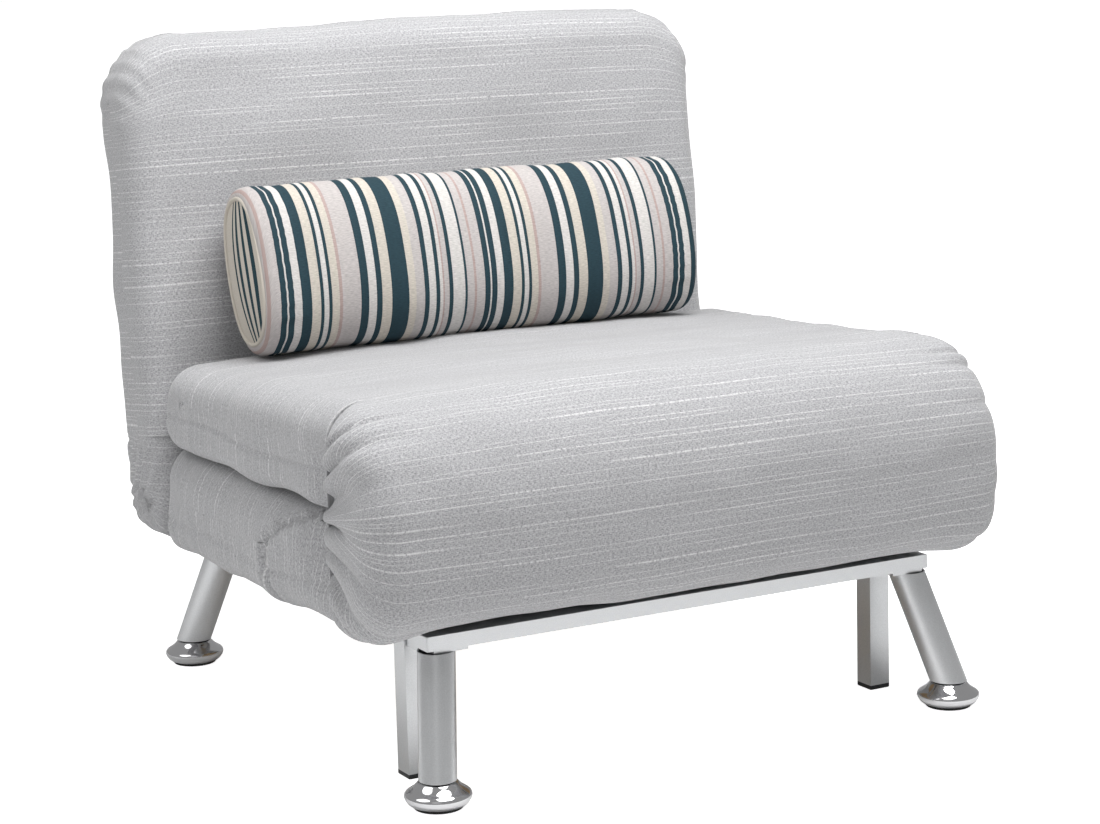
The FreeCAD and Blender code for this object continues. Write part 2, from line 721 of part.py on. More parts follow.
def hinge_arms():
    """Moving arm: bolted flat against the backrest's tube and turning on the pivot pin."""
    x = arm_x
    far = Vector(x + plate_thickness, 0, 0)
    boss = rod(arm_width / 2 + arm_boss_extra, Vector(x, 0, 0), far)
    strap = box(x, x + plate_thickness, -arm_width / 2, arm_width / 2, 0, arm_top)
    strap = strap.makeFillet(arm_end_radius, [e for e in strap.Edges if e.BoundBox.ZMin > arm_top / 2
                                              and e.BoundBox.YLength < plate_thickness])
    ear_n = pawl_pivot_n - pawl_ear_reach
    ear = flat_plate(x, [(0, pawl_pivot_s - pawl_ear_low), (ear_n, pawl_pivot_s - pawl_ear_reach),
                         (ear_n, pawl_pivot_s + pawl_ear_reach), (0, pawl_pivot_s + pawl_ear_high)],
                     plate_thickness)
    run = Vector(plate_thickness + overshoot, 0, 0)
    pivot = Vector(x - overshoot, 0, 0)
    pawl_axis = Vector(x - overshoot, pawl_pivot_n, pawl_pivot_s)
    holes = [rod(pivot_radius + pivot_clearance, pivot, pivot + run * 2),
             rod(pawl_pin_radius, pawl_axis, pawl_axis + run * 2)]
    arm = leaned(boss.fuse([strap, ear]).removeSplitter().cut(holes))
    export("hinge_arms", [mirrored(arm), arm])


def pivot_pins():
    """Shouldered bolt through each plate and arm."""
    start = fixed_plate_x
    end = arm_x + plate_thickness + plate_gap
    head = hexagon(start - pivot_head_thickness, 0, 0, pivot_head_across, pivot_head_thickness)
    shank = rod(pivot_radius, Vector(start - overshoot, 0, 0), Vector(end + overshoot, 0, 0))
    nut = hexagon(end, 0, 0, pivot_head_across, pivot_head_thickness)
    pin = head.fuse([shank, nut]).removeSplitter()
    pin.translate(hinge)
    export("pivot_pins", [mirrored(pin), pin])


def pawls():
    """Ratchet pawl, drawn engaged and then lifted clear of the notches."""
    x = fixed_plate_x
    n, s = pawl_pivot_n, pawl_pivot_s
    boss = rod(pawl_boss_radius, Vector(x, n, s), Vector(x + plate_thickness, n, s))
    root_s = tooth_tip + tooth_height
    lever = flat_plate(x, [(n, s + pawl_boss_radius), (tooth_root_half, tooth_tip + pawl_back_height),
                           (tooth_root_half, root_s), (tooth_half, tooth_tip), (-tooth_half, tooth_tip),
                           (-tooth_root_half, root_s), (n, s - pawl_boss_radius)], plate_thickness)
    hole = rod(pawl_pin_radius + pivot_clearance, Vector(x - overshoot, n, s), Vector(arm_x, n, s))
    pawl = boss.fuse(lever).removeSplitter().cut(hole)
    pawl.rotate(Vector(0, n, s), Vector(1, 0, 0), pawl_lift)
    both_sides("pawl", leaned(pawl))

    head_end = x - pawl_head_gap
    head = hexagon(head_end - pawl_head_thickness, n, s, pawl_head_across, pawl_head_thickness)
    shank = rod(pawl_pin_radius, Vector(head_end - overshoot, n, s), Vector(arm_x + plate_thickness, n, s))
    pin = leaned(head.fuse(shank).removeSplitter())
    export("pawl_pins", [mirrored(pin), pin])


# Frame inside the backrest

def back_frame():
    """Welded square tube in the shape of an upturned U, with one cross bar."""
    half = back_tube_size / 2
    top = back_frame_top + half

    def arch(wall):
        """The upturned U, or its bore where a wall is given."""
        side = half - wall
        outside = back_tube_high_x - wall
        inside = back_tube_low_x + wall
        low = back_tube_start - (overshoot if wall else 0)
        whole = box(-outside, outside, -side, side, low, top - wall)
        return whole.cut(box(-inside, inside, -half, half, low - overshoot, top - back_tube_size + wall))

    cross = back_cross_size / 2
    bar = box_tube((-back_tube_low_x, -cross, back_cross_height - cross),
                   (back_tube_low_x, cross, back_cross_height + cross), back_tube_wall, 0)
    export("back_frame", leaned(arch(0).cut(arch(back_tube_wall)).fuse(bar)))


def back_webbing():
    """Elastic straps across the front of the frame, looped round its uprights."""
    inner = back_tube_size / 2 + webbing_gap
    outer = inner + webbing_thickness
    straps = []
    for index in range(webbing_count):
        low = back_cross_height + back_cross_size / 2 + webbing_start_gap + index * webbing_pitch
        high = low + webbing_width
        loop_low = (back_tube_low_x - webbing_gap - webbing_thickness, -outer, low)
        loop_high = (back_tube_high_x + webbing_gap + webbing_thickness, outer, high)
        loop = box_tube(loop_low, loop_high, webbing_thickness, 2)
        run = box(-back_tube_low_x, back_tube_low_x, -outer, -inner, low, high)
        straps.append(leaned(run.fuse([loop, mirrored(loop)]).removeSplitter()))
    export("back_webbing", straps)


# Bolster pillow

def oval_points(inset):
    """The pillow's slice as points (y, z) about its own axis, drawn in by inset at front and rear."""
    share = 1 - 2 * inset / pillow_depth
    half_depth = share * pillow_depth / 2
    half_height = share * pillow_height / 2

    points = []
    for step in range(pillow_points):
        angle = radians(360 * step / pillow_points)
        points.append((half_depth * drawn_out(cos(angle), pillow_fullness),
                       half_height * drawn_out(sin(angle), pillow_fullness)))
    return points


def pillow_form(skin):
    """Oval bolster with softly rounded ends that bulge a little."""
    half = pillow_length / 2 - skin
    rim = half - pillow_end_bulge
    radius = pillow_end_radius
    right = [(half, pillow_end_panel + radius)]
    for angle in (90, 60, 30, 0):
        turn = radians(angle)
        right.append((rim - radius * (1 - sin(turn)), radius * (1 - cos(turn))))
    stations = [(-x, inset) for x, inset in right] + [(0.0, -pillow_middle_swell)] + right[::-1]
    sections = []
    for x, inset in stations:
        sections.append(section(x, oval_points(skin + inset)))
    return padded_solid(sections)


def placed_pillow(shape):
    """Tilt the bolster back and set it down on the crown of the seat."""
    tilt = radians(pillow_tilt)
    lowest = min(z * cos(tilt) - y * sin(tilt) for y, z in oval_points(-pillow_middle_swell))
    placed = shape.copy()
    placed.rotate(Vector(0, 0, 0), Vector(1, 0, 0), -pillow_tilt)
    middle_y = rail_front_y + pillow_back
    slope = flap_rear_drop / (flap_end_y - flap_end_radius - fold_y)
    under = flap_top_z + seat_crown - slope * (middle_y - pillow_front_reach - fold_y)
    placed.translate(Vector(pillow_x, middle_y, under + pillow_rest_gap - lowest))
    return placed


def pillow():
    outer = pillow_form(0.0)
    hollow = pillow_form(pillow_cover_thickness)
    filling = pillow_form(pillow_cover_thickness + foam_gap)
    cover = placed_pillow(outer.cut(hollow))
    export("pillow_cover", cover)
    export("pillow_filling", placed_pillow(filling))
    return cover.BoundBox.ZMin


os.makedirs("parts", exist_ok=True)
lower_layer()
upper_layer()
front_fold()
backrest_pads()
rear_fold()
fixed_frame()
middle_legs()
leg_set("front", rail_front_y + rail_depth / 2, rail_bottom_z, -1)
leg_set("rear", rear_rail_front_y + rail_depth / 2, cross_rail_bottom_z, 1)
fixed_slats()
sliding_slats()
front_rail()
runners()
ratchet_plates()
hinge_arms()
pivot_pins()
pawls()
back_frame()
back_webbing()
pillow_low_z = pillow()
print("reclining hinge line: y", round(hinge_y, 3), "z", round(hinge_z, 3))
print("flap's fold line: y", fold_axis.y, "z", round(fold_axis.z, 3))
print("pillow from", round(pillow_low_z, 3))
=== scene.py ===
import json
import math

import bmesh
import bpy
import numpy as np
from mathutils import Matrix, Vector


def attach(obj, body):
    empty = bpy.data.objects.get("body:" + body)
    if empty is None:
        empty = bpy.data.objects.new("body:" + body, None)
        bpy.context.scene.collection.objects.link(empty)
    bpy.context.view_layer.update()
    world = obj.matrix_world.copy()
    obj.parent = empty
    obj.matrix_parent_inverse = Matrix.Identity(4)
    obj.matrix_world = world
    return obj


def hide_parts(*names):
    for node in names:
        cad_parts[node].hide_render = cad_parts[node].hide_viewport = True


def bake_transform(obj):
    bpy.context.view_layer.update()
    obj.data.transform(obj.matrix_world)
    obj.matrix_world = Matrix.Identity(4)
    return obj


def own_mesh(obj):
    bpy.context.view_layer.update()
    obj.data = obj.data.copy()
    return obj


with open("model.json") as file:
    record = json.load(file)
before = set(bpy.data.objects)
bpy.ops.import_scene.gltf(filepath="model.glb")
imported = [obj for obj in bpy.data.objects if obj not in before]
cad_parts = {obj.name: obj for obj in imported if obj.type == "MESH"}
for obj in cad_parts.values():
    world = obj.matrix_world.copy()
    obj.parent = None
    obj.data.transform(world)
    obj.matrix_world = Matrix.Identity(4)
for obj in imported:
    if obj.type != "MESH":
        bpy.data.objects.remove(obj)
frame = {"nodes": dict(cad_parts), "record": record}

bl_info = {
    "name": "Chair Bed",
    "version": (1, 0, 0),
    "blender": (4, 5, 0),
    "location": "View3D > Sidebar > Chair Bed",
    "description": "Dresses a folding chair bed with its mattress, backrest, bolster and metalwork",
    "category": "Object",
}

# Places shared with the solids, in metres
CUT_Y = -0.244  # where the layers meet the front fold
CREASE_Z = 0.2777  # between the two layers
LOW_BOTTOM, LOW_TOP = 0.165, 0.2774
FLAP_BOTTOM, FLAP_TOP = 0.278, 0.3904
LOW_END, FLAP_END = 0.216, 0.206
FLAP_REAR_DROP = 0.018  # the seat's fall towards the backrest
FOLD_RADIUS = 0.1127
HINGE = (0.268603, 0.2215)  # (y, z) of the backrest's pivots
LEAN = math.radians(6)

# Spacing of the points along an outline, and the counts of points in a rounding and across a cushion
FINE_STEP, STEP, COARSE_STEP = 0.006, 0.007, 0.008
ARC_POINTS, ROUND_STEPS, FLAT_STEPS = 12, 12, 70

# Where each piece's cloth coordinates start
WEAVE_START = {"lower": 0.0, "upper": 0.354, "backrest": 1.0, "rear_fold": 2.0}

SIDES = ((-1, "left"), (1, "right"))


# Shapes

def smooth(t):
    """A soft step from 0 to 1."""
    t = np.clip(t, 0.0, 1.0)
    return t * t * (3 - 2 * t)


def bump(value, middle, width):
    """A bell round the middle."""
    return np.exp(-((value - middle) / width) ** 2)


def ripple(points, size, seed, waves=9):
    """Soft random hills and hollows, about -1 to 1, of the given size."""
    rng = np.random.default_rng(seed)
    total = np.zeros(points.shape[:-1])
    for _ in range(waves):
        way = rng.normal(size=3)
        way /= np.linalg.norm(way)
        length = size * rng.uniform(0.7, 1.6)
        total += np.sin(points @ way * (2 * math.pi / length) + rng.uniform(0, 6.3))
    return total / math.sqrt(waves)


def grid_normals(grid, wrap=False):
    """Normals of a grid of points; wrap joins its last column to its first."""
    if wrap:
        along = np.roll(grid, -1, axis=1) - np.roll(grid, 1, axis=1)
    else:
        along = np.gradient(grid, axis=1)
    across = np.gradient(grid, axis=0)
    normal = np.cross(across, along)
    length = np.linalg.norm(normal, axis=-1, keepdims=True)
    return normal / np.maximum(length, 1e-12)


def lengths(grid, axis):
    """Distance travelled along an axis of a grid."""
    step = np.linalg.norm(np.diff(grid, axis=axis), axis=-1)
    pad = [(0, 0), (0, 0)]
    pad[axis] = (1, 0)
    return np.pad(np.cumsum(step, axis=axis), pad)


def new_object(name, data):
    obj = bpy.data.objects.new(name, data)
    bpy.context.scene.collection.objects.link(obj)
    return obj


def grid_object(name, grid, uv, wrap=False, caps=()):
    """A mesh over a grid of points. caps are further grids that close it, with corners of their own."""
    rows, columns = grid.shape[:2]
    points = [grid.reshape(-1, 3)]
    faces = []
    corners = []
    span = columns if wrap else columns - 1
    for i in range(rows - 1):
        for j in range(span):
            k = (j + 1) % columns
            quad = [(i, j), (i, k), (i + 1, k), (i + 1, j)]
            faces.append([a * columns + b for a, b in quad])
            uv_quad = [(i, j), (i, j + 1), (i + 1, j + 1), (i + 1, j)]
            corners.append([uv[a, b] for a, b in uv_quad])
    smooth_count = len(faces)
    start = rows * columns
    for cap in caps:
        cap_rows, cap_columns = cap.shape[:2]
        points.append(cap.reshape(-1, 3))
        for i in range(cap_rows - 1):
            for j in range(cap_columns - 1):
                quad = [(i, j), (i, j + 1), (i + 1, j + 1), (i + 1, j)]
                faces.append([start + a * cap_columns + b for a, b in quad])
                corners.append([cap[a, b][:2] for a, b in quad])
        start += cap_rows * cap_columns
    mesh = bpy.data.meshes.new(name)
    mesh.from_pydata(np.concatenate(points).tolist(), [], faces)
    layer = mesh.uv_layers.new(name="weave")
    layer.data.foreach_set("uv", np.array(corners, dtype=np.float32).reshape(-1))
    shade = np.arange(len(faces)) < smooth_count
    mesh.polygons.foreach_set("use_smooth", shade)
    mesh.update()
    return new_object(name, mesh)


def arc(centre, radius, start, end, count):
    """Points (y, z) of an arc, angles in degrees from +Y towards +Z."""
    turn = np.radians(np.linspace(start, end, count))
    return np.stack([centre[0] + radius * np.cos(turn), centre[1] + radius * np.sin(turn)], axis=-1)


def straight(start, end, step):
    """Points from start to end, about a step apart."""
    count = max(2, int(math.dist(start, end) / step) + 1)
    return np.linspace(start, end, count)


def joined(*stretches):
    """One outline from stretches that meet end to end."""
    return np.concatenate([s[:-1] for s in stretches[:-1]] + [stretches[-1]])


def stations(side_rows):
    """Places across a cushion: (side, turn of the rounding, share of the side face, place on the flat)."""
    right = [(1.0, math.pi / 2, share, 1.0) for share in side_rows[::-1]]
    for k in range(ROUND_STEPS, 0, -1):
        right.append((1.0, math.pi / 2 * k / ROUND_STEPS, 0.0, 1.0))
    flat = [(1.0, 0.0, 0.0, place) for place in np.linspace(1.0, -1.0, FLAT_STEPS)]
    left = [(-1.0, turn, share, -1.0) for _, turn, share, _ in right]
    return right + flat + left[::-1]


def cushion_grid(outline, target, edge, half, side_rows):
    """Points of a cushion: its outline (y, z) swept across, rounded at the edges by edge and closed on
    the sides towards target; half is its half width. Edge and half may differ along the outline."""
    edge, half = (np.broadcast_to(value, len(outline)) for value in (edge, half))
    grid = []
    for side, turn, share, place in stations(side_rows):
        reach = np.linalg.norm(target - outline, axis=-1)
        inset = edge * (1 - math.cos(turn))
        inset = inset + (reach - inset) * share
        inward = (target - outline) * (inset / np.maximum(reach, 1e-9))[:, None]
        spot = outline + inward
        if turn > 0:
            x = side * (half - edge + edge * math.sin(turn))
        else:
            x = place * (half - edge)
        grid.append(np.column_stack([x, spot]))
    return np.array(grid)


def towards_sides(x, start, width):
    """A soft step from 0 to 1 on both sides of the chair, from start outwards."""
    return smooth((np.abs(x) - start) / width)


def crown_share(x):
    """How much of a cushion's crown there is: 1 in the middle, 0 near the sides."""
    return np.clip(1 - (x / CROWN_HALF) ** 2, 0, 1)


def undulation(points, swells):
    """The slight unevenness of a foam-filled cover; a swell is (height, size, seed)."""
    return sum(height * ripple(points, size, seed) for height, size, seed in swells)


def push_out(grid, amount, wrap=False, outward=1.0):
    """Move the points along their normals; outward is -1 where these point inwards."""
    normal = grid_normals(grid, wrap)
    return grid + normal * (outward * amount)[..., None]


def weave_uv(grid, origin):
    """Cloth coordinates: across the chair, and along the outline from the given origin."""
    middle = grid.shape[0] // 2
    across = lengths(grid, 0)
    across = across - across[middle]
    along = lengths(grid, 1)[middle] + origin
    return np.stack([across, np.broadcast_to(along, across.shape)], axis=-1)


def closing(grid, line=None):
    """A flat face from one edge of a grid to its other edge, or to a line across the chair at (y, z)."""
    edge = grid[:, 0]
    far = grid[:, -1] if line is None else np.column_stack([edge[:, 0], np.tile(line, (len(edge), 1))])
    return np.stack([edge, far], axis=1)


# Mattress

LAYER_HALF, FOLD_HALF = 0.370, 0.3735  # half widths
FOLD_FLARE, FLARE_LENGTH = 0.004, 0.03  # the fold widens by this past its seam with the layers
CROWN_HALF = 0.342  # half the width that a crown takes up
SEAT_CROWN, CROWN_FADE = 0.007, 0.09
SEAT_LIMIT, HILL_CUT = 0.3955, 0.75  # seat hills above the limit lose this share, to clear the slats
SIDE_SAG, SIDE_SLACK = 0.006, 0.012  # the lower side edges sag, down to this far below the layer
FOLD_FULLNESS = 0.55  # below 1 the lower half of the fold is squarer than round
FOLD_POINTS = 64
FOLD_SPACING = {"lower": 1.6, "upper": 1.35}  # above 1 its points are closer together by the seam
FOLD_START = 0.001  # the fold's round part starts this far in front of the seam

# Rounding of the side edges, for a layer its outer and its inner one
LOW_EDGES, FLAP_EDGES = (0.026, 0.046), (0.040, 0.020)
FOLD_EDGE_LOW, FOLD_EDGE_HIGH = 0.036, 0.038
EDGE_BLEND = 0.25  # a layer's outer edge turns into the fold's over this length
LOW_CORNER, FLAP_CORNER = 0.020, 0.040  # rounding of the layers' free ends

# Rows of points on the side faces, as shares of the way from the edge to the middle
LAYER_SIDE_ROWS = [0.12, 0.25, 0.38, 0.48, 0.54, 0.60, 0.68, 0.80, 1.0]
FOLD_SIDE_ROWS = list(np.linspace(0.06, 1.0, 20))

# Height, size and seed of the cover's hills and hollows
MATTRESS_SWELLS = ((0.0016, 0.17, 3), (0.0006, 0.06, 8))

# Gathers: valleys between ridges, which fan out forwards and fade
GATHER_SPACING, GATHER_RISE, GATHER_DEPTH = 0.0215, 0.0050, 0.0220
GATHER_REACH_UP, GATHER_REACH_DOWN, GATHER_END = 0.048, 0.085, 0.03
GATHER_FAN, GATHER_LENGTH, GATHER_LIFT = 0.07, 0.055, 0.004

# How far, over what length and over what height the sides are drawn in by the fold's mouth
WAIST = {"lower": (0.046, 0.11, 0.080), "upper": (0.018, 0.07, 0.055)}
LIP_DEPTH, LIP_LENGTH = 0.007, 0.014

# Seams and loose creases on the sides of the layers
SEAM_LEVEL = {"lower": 0.200, "upper": 0.318}
SEAM_DEPTH, SEAM_WIDTH, SEAM_WAVER = 0.0022, 0.0025, 0.002
PUCKER_HEIGHT, PUCKER_REACH = 0.0009, 0.011
CREASE_LEVEL = {"lower": 0.215, "upper": 0.325}
CREASE_SEED = {"lower": 9, "upper": 5}
CREASE_COUNT, CREASE_HEIGHT, CREASE_REACH = 7, 0.0016, 0.022

# The fold across the lower layer: (y, z) of its rearmost point, then how far forward and over what
# height it runs above and below that point
BEND = (-0.078, 0.212)
BEND_ABOVE, BEND_BELOW = (0.125, 0.065), (0.022, 0.05)
BEND_DEPTH, BEND_WIDTH, BEND_LIP, BEND_LIP_WIDTH = 0.0120, 0.0050, 0.0045, 0.034

# Where the layers lie on each other the cover has no hills
FACE_MARGIN, FACE_FADE = 0.004, 0.008


def gathers(points):
    """The cover drawn together along the side of the front fold: valleys that fan out from the mouth."""
    x, y, z = np.moveaxis(points, -1, 0)
    ahead = np.clip(CUT_Y - y, 0, None)
    level = (z - CREASE_Z + GATHER_LIFT) / (1 + ahead / GATHER_FAN)
    waver = 0.003 * np.sin(level * 95 + 1.0) + 0.002 * np.sin(level * 210 + np.sign(x))
    valley = (1 - np.abs(np.sin((level + waver) * (math.pi / GATHER_SPACING)))) ** 1.6
    valley = valley * (0.75 + 0.25 * np.sin(level * 120 + 0.5))
    limit = np.where(level > 0, GATHER_REACH_UP, GATHER_REACH_DOWN)
    fade = np.exp(-ahead / GATHER_LENGTH) * (1 - smooth((np.abs(level) - limit) / GATHER_END))
    return (GATHER_RISE - GATHER_DEPTH * valley) * fade * towards_sides(x, 0.29, 0.05)


def seam(points, level):
    """Groove and puckers along a side seam."""
    x, y, z = np.moveaxis(points, -1, 0)
    line = level + SEAM_WAVER * np.sin(y * 23)
    groove = -SEAM_DEPTH * bump(z, line, SEAM_WIDTH)
    pucker = PUCKER_HEIGHT * np.sin(y * 390 + 2 * np.sin(y * 61)) * bump(z, line, PUCKER_REACH)
    return (groove + pucker) * towards_sides(x, 0.335, 0.02)


def cross_crease(points):
    """The fold across the lower layer, a hand's width behind the front fold."""
    x, y, z = np.moveaxis(points, -1, 0)
    up = np.clip((z - BEND[1]) / BEND_ABOVE[1], 0, 1)
    down = np.clip((BEND[1] - z) / BEND_BELOW[1], 0, 1)
    line = BEND[0] - BEND_ABOVE[0] * up ** 2 - BEND_BELOW[0] * down ** 2
    depth = -BEND_DEPTH * bump(y, line, BEND_WIDTH) + BEND_LIP * bump(y, line, BEND_LIP_WIDTH)
    return depth * towards_sides(x, 0.27, 0.07)


def short_creases(points, level, seed):
    """Loose vertical creases on the side of a layer."""
    rng = np.random.default_rng(seed)
    x, y, z = np.moveaxis(points, -1, 0)
    total = np.zeros(x.shape)
    for _ in range(CREASE_COUNT):
        place = rng.uniform(-0.21, 0.17)
        tilt = rng.uniform(-0.35, 0.35)
        total += rng.uniform(0.4, 1.0) * bump(y - tilt * (z - level), place, rng.uniform(0.003, 0.006)) \
            * bump(z, level + rng.uniform(-0.02, 0.02), CREASE_REACH)
    return CREASE_HEIGHT * total * towards_sides(x, 0.32, 0.03)


def layer_grid(outer_z, inner_z, end_y, radius, drop, edges):
    """One layer behind the fold, from the outer face round its free end to the inner face."""
    up = 1 if outer_z > inner_z else -1
    middle = (outer_z + inner_z) / 2
    half_thick = abs(outer_z - inner_z) / 2
    end_z = outer_z - up * drop
    turn_y = end_y - radius
    outline = joined(
        straight((CUT_Y, outer_z), (turn_y, end_z), FINE_STEP),
        arc((turn_y, end_z - up * radius), radius, 90 * up, 0, ARC_POINTS),
        straight((end_y, end_z - up * radius), (end_y, inner_z + up * radius), FINE_STEP),
        arc((turn_y, inner_z + up * radius), radius, 0, -90 * up, ARC_POINTS),
        straight((turn_y, inner_z), (CUT_Y, inner_z), COARSE_STEP))
    target = np.column_stack([np.minimum(outline[:, 0], end_y - half_thick), np.full(len(outline), middle)])
    on_outer = smooth((up * (outline[:, 1] - middle) / half_thick + 1) / 2)
    near_fold = 1 - smooth((outline[:, 0] - CUT_Y) / EDGE_BLEND)
    fold_edge = FOLD_EDGE_HIGH if up > 0 else FOLD_EDGE_LOW
    edge = edges[1] + (edges[0] - edges[1]) * on_outer
    edge = edge + (fold_edge - edge) * near_fold * on_outer
    return cushion_grid(outline, target, edge, LAYER_HALF, LAYER_SIDE_ROWS)


def fold_quarter(which):
    """Half of the front fold, from its seam with a layer to the middle of the front."""
    start, power = (90, 1.0) if which == "upper" else (270, FOLD_FULLNESS)
    share = np.linspace(0, 1, FOLD_POINTS) ** FOLD_SPACING[which]
    turn = np.radians(start + (180 - start) * share)
    level, height = np.cos(turn), np.sin(turn)
    level = -np.abs(level) ** power
    height = np.sign(height) * np.abs(height) ** power
    outline = np.stack([CUT_Y - FOLD_START + FOLD_RADIUS * level, CREASE_Z + FOLD_RADIUS * height], axis=-1)
    outline[0, 0] = CUT_Y
    target = np.tile([CUT_Y, CREASE_Z], (FOLD_POINTS, 1))
    rise = (outline[:, 1] - LOW_BOTTOM) / (FLAP_TOP - LOW_BOTTOM)
    edge = FOLD_EDGE_LOW + (FOLD_EDGE_HIGH - FOLD_EDGE_LOW) * rise
    half = FOLD_HALF + FOLD_FLARE * smooth((CUT_Y - outline[:, 0]) / FLARE_LENGTH)
    return cushion_grid(outline, target, edge, half, FOLD_SIDE_ROWS)


def cover_relief(points, which, is_fold):
    """How far the cover of one piece stands out from its plain shape."""
    amount = undulation(points, MATTRESS_SWELLS)
    if is_fold:
        return amount + gathers(points)
    x, z = points[..., 0], points[..., 2]
    amount = amount + seam(points, SEAM_LEVEL[which])
    if which == "upper":
        facing = smooth((z - (FLAP_BOTTOM + FACE_MARGIN)) / FACE_FADE)
    else:
        amount = amount + cross_crease(points)
        facing = smooth((LOW_TOP - FACE_MARGIN - z) / FACE_FADE)
    amount = amount + short_creases(points, CREASE_LEVEL[which], CREASE_SEED[which])
    facing = np.maximum(facing, towards_sides(x, 0.33, 0.02))
    return np.where(amount > 0, amount * facing, amount)


def drawn_in(points, which, is_fold):
    """How far the sides of one piece are drawn in by the fold's mouth."""
    x, y, z = np.moveaxis(points, -1, 0)
    side = towards_sides(x, 0.31, 0.05)
    if is_fold:
        curl = 1 - smooth((CUT_Y - y) / LIP_LENGTH)
        return LIP_DEPTH * curl * side
    depth, length, reach = WAIST[which]
    near = 1 - smooth((y - CUT_Y) / length)
    mouth = 1 - smooth((np.abs(z - CREASE_Z) - reach / 2) / reach)
    return depth * near * mouth * side


def shape_mattress(start, which, is_fold):
    """Crown, gathers, seams and creases on one piece of the mattress."""
    upper = which == "upper"
    x, y, z = np.moveaxis(start, -1, 0)
    outward = 1.0 if upper == is_fold else -1.0
    grid = push_out(start, cover_relief(start, which, is_fold), outward=outward)
    grid[..., 0] -= np.sign(x) * drawn_in(start, which, is_fold)
    share = crown_share(x)
    if is_fold:
        grid[..., 1] -= SEAT_CROWN * share * smooth((CUT_Y - y) / CROWN_FADE)
    if upper:
        grid[..., 2] += SEAT_CROWN * share * smooth((z - CREASE_Z) / CROWN_FADE)
        grid[..., 2] -= HILL_CUT * np.clip(grid[..., 2] - SEAT_LIMIT, 0, None)
    else:
        grid[..., 2] -= SIDE_SAG * (towards_sides(x, 0.27, 0.09) * (1 - smooth((z - LOW_BOTTOM) / 0.06)))
        lowest = LOW_BOTTOM - SIDE_SLACK * towards_sides(grid[..., 0], 0.300, 0.02)
        grid[..., 2] = np.maximum(grid[..., 2], lowest)
    return grid


def build_mattress(props):
    cloth = linen("linen_cloth", props)
    made = {}
    for which in ("lower", "upper"):
        if which == "upper":
            grid = layer_grid(FLAP_TOP, FLAP_BOTTOM, FLAP_END, FLAP_CORNER, FLAP_REAR_DROP, FLAP_EDGES)
            body = "flap"
        else:
            grid = layer_grid(LOW_BOTTOM, LOW_TOP, LOW_END, LOW_CORNER, 0.0, LOW_EDGES)
            body = "base_frame"
        grid = shape_mattress(grid, which, False)
        uv = weave_uv(grid, WEAVE_START[which])
        layer = grid_object(which + "_layer", grid, uv, caps=[closing(grid)])
        fold = shape_mattress(fold_quarter(which), which, True)
        caps = [closing(half, (CUT_Y, CREASE_Z)) for half in (fold, fold[:, ::-1])]
        front = grid_object(which + "_fold", fold, weave_uv(fold, 0.0), caps=caps)
        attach(layer, body)
        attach(front, body)
        made[which] = (layer, front)
        for obj in (layer, front):
            obj.data.materials.append(cloth)
            turn_outward(obj)
    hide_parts("seat_cover", "seat_foam")
    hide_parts("front_fold_cover", "front_fold_foam")
    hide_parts("flap_cover", "flap_foam")
    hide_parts("front_fold_cover", "front_fold_foam")
    for _, front in made.values():
        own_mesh(front)


def turn_outward(obj):
    """Point the faces of a closed-looking shell outwards."""
    work = bmesh.new()
    work.from_mesh(obj.data)
    centre = sum((v.co for v in work.verts), Vector()) / len(work.verts)
    score = 0.0
    for face in work.faces:
        if face.smooth:
            score += face.normal.dot(face.calc_center_median() - centre) * face.calc_area()
    if score < 0:
        bmesh.ops.reverse_faces(work, faces=work.faces)
    work.to_mesh(obj.data)
    work.free()


# Backrest, drawn upright with the hinge line at the origin and then leaned back

BACK_FRONT, BACK_REAR_LOW, BACK_REAR_HIGH = -0.0562, 0.059, 0.046
BACK_START, BACK_HEIGHT = 0.060, 0.518
BACK_HALF = 0.3745  # half width
BACK_CORNER, BACK_EDGE = 0.040, 0.034  # rounding of the top, and of the side edges
BACK_SIDE_ROWS = [0.15, 0.35, 0.55, 0.8, 1.0]
BACKREST_SWELLS = ((0.0018, 0.2, 21), (0.0006, 0.07, 22))
FRONT_CROWN, REAR_CROWN = 0.011, 0.006
TOP_CROWN_CUT = 0.55  # share of the front's crown that is missing at the top
TOP_CURVE = 0.004  # the top is this much lower at the sides than in the middle
SHOULDER_DROP, SHOULDER_START, SHOULDER_WIDTH = 0.038, 0.300, 0.075
CORNER_PUCKER = 0.0012


def on_back(n, s):
    """(y, z) of a place on the leaning backrest, n towards the rear and s up from the hinge line."""
    return (HINGE[0] + s * math.sin(LEAN) + n * math.cos(LEAN),
            HINGE[1] + s * math.cos(LEAN) - n * math.sin(LEAN))


def back_grid():
    """The backrest's cover, from the bottom of the front over the top to the bottom of the rear."""
    radius = BACK_CORNER
    outline = joined(
        straight((BACK_FRONT, BACK_START), (BACK_FRONT, BACK_HEIGHT - radius), STEP),
        arc((BACK_FRONT + radius, BACK_HEIGHT - radius), radius, 180, 90, ARC_POINTS),
        straight((BACK_FRONT + radius, BACK_HEIGHT), (BACK_REAR_HIGH - radius, BACK_HEIGHT), FINE_STEP),
        arc((BACK_REAR_HIGH - radius, BACK_HEIGHT - radius), radius, 90, 0, ARC_POINTS),
        straight((BACK_REAR_HIGH, BACK_HEIGHT - radius), (BACK_REAR_LOW, BACK_START), STEP))
    middle = (BACK_FRONT + BACK_REAR_HIGH) / 2
    half_thick = (BACK_REAR_HIGH - BACK_FRONT) / 2
    target = np.column_stack([np.full(len(outline), middle),
                              np.minimum(outline[:, 1], BACK_HEIGHT - half_thick)])
    return cushion_grid(outline, target, BACK_EDGE, BACK_HALF, BACK_SIDE_ROWS)


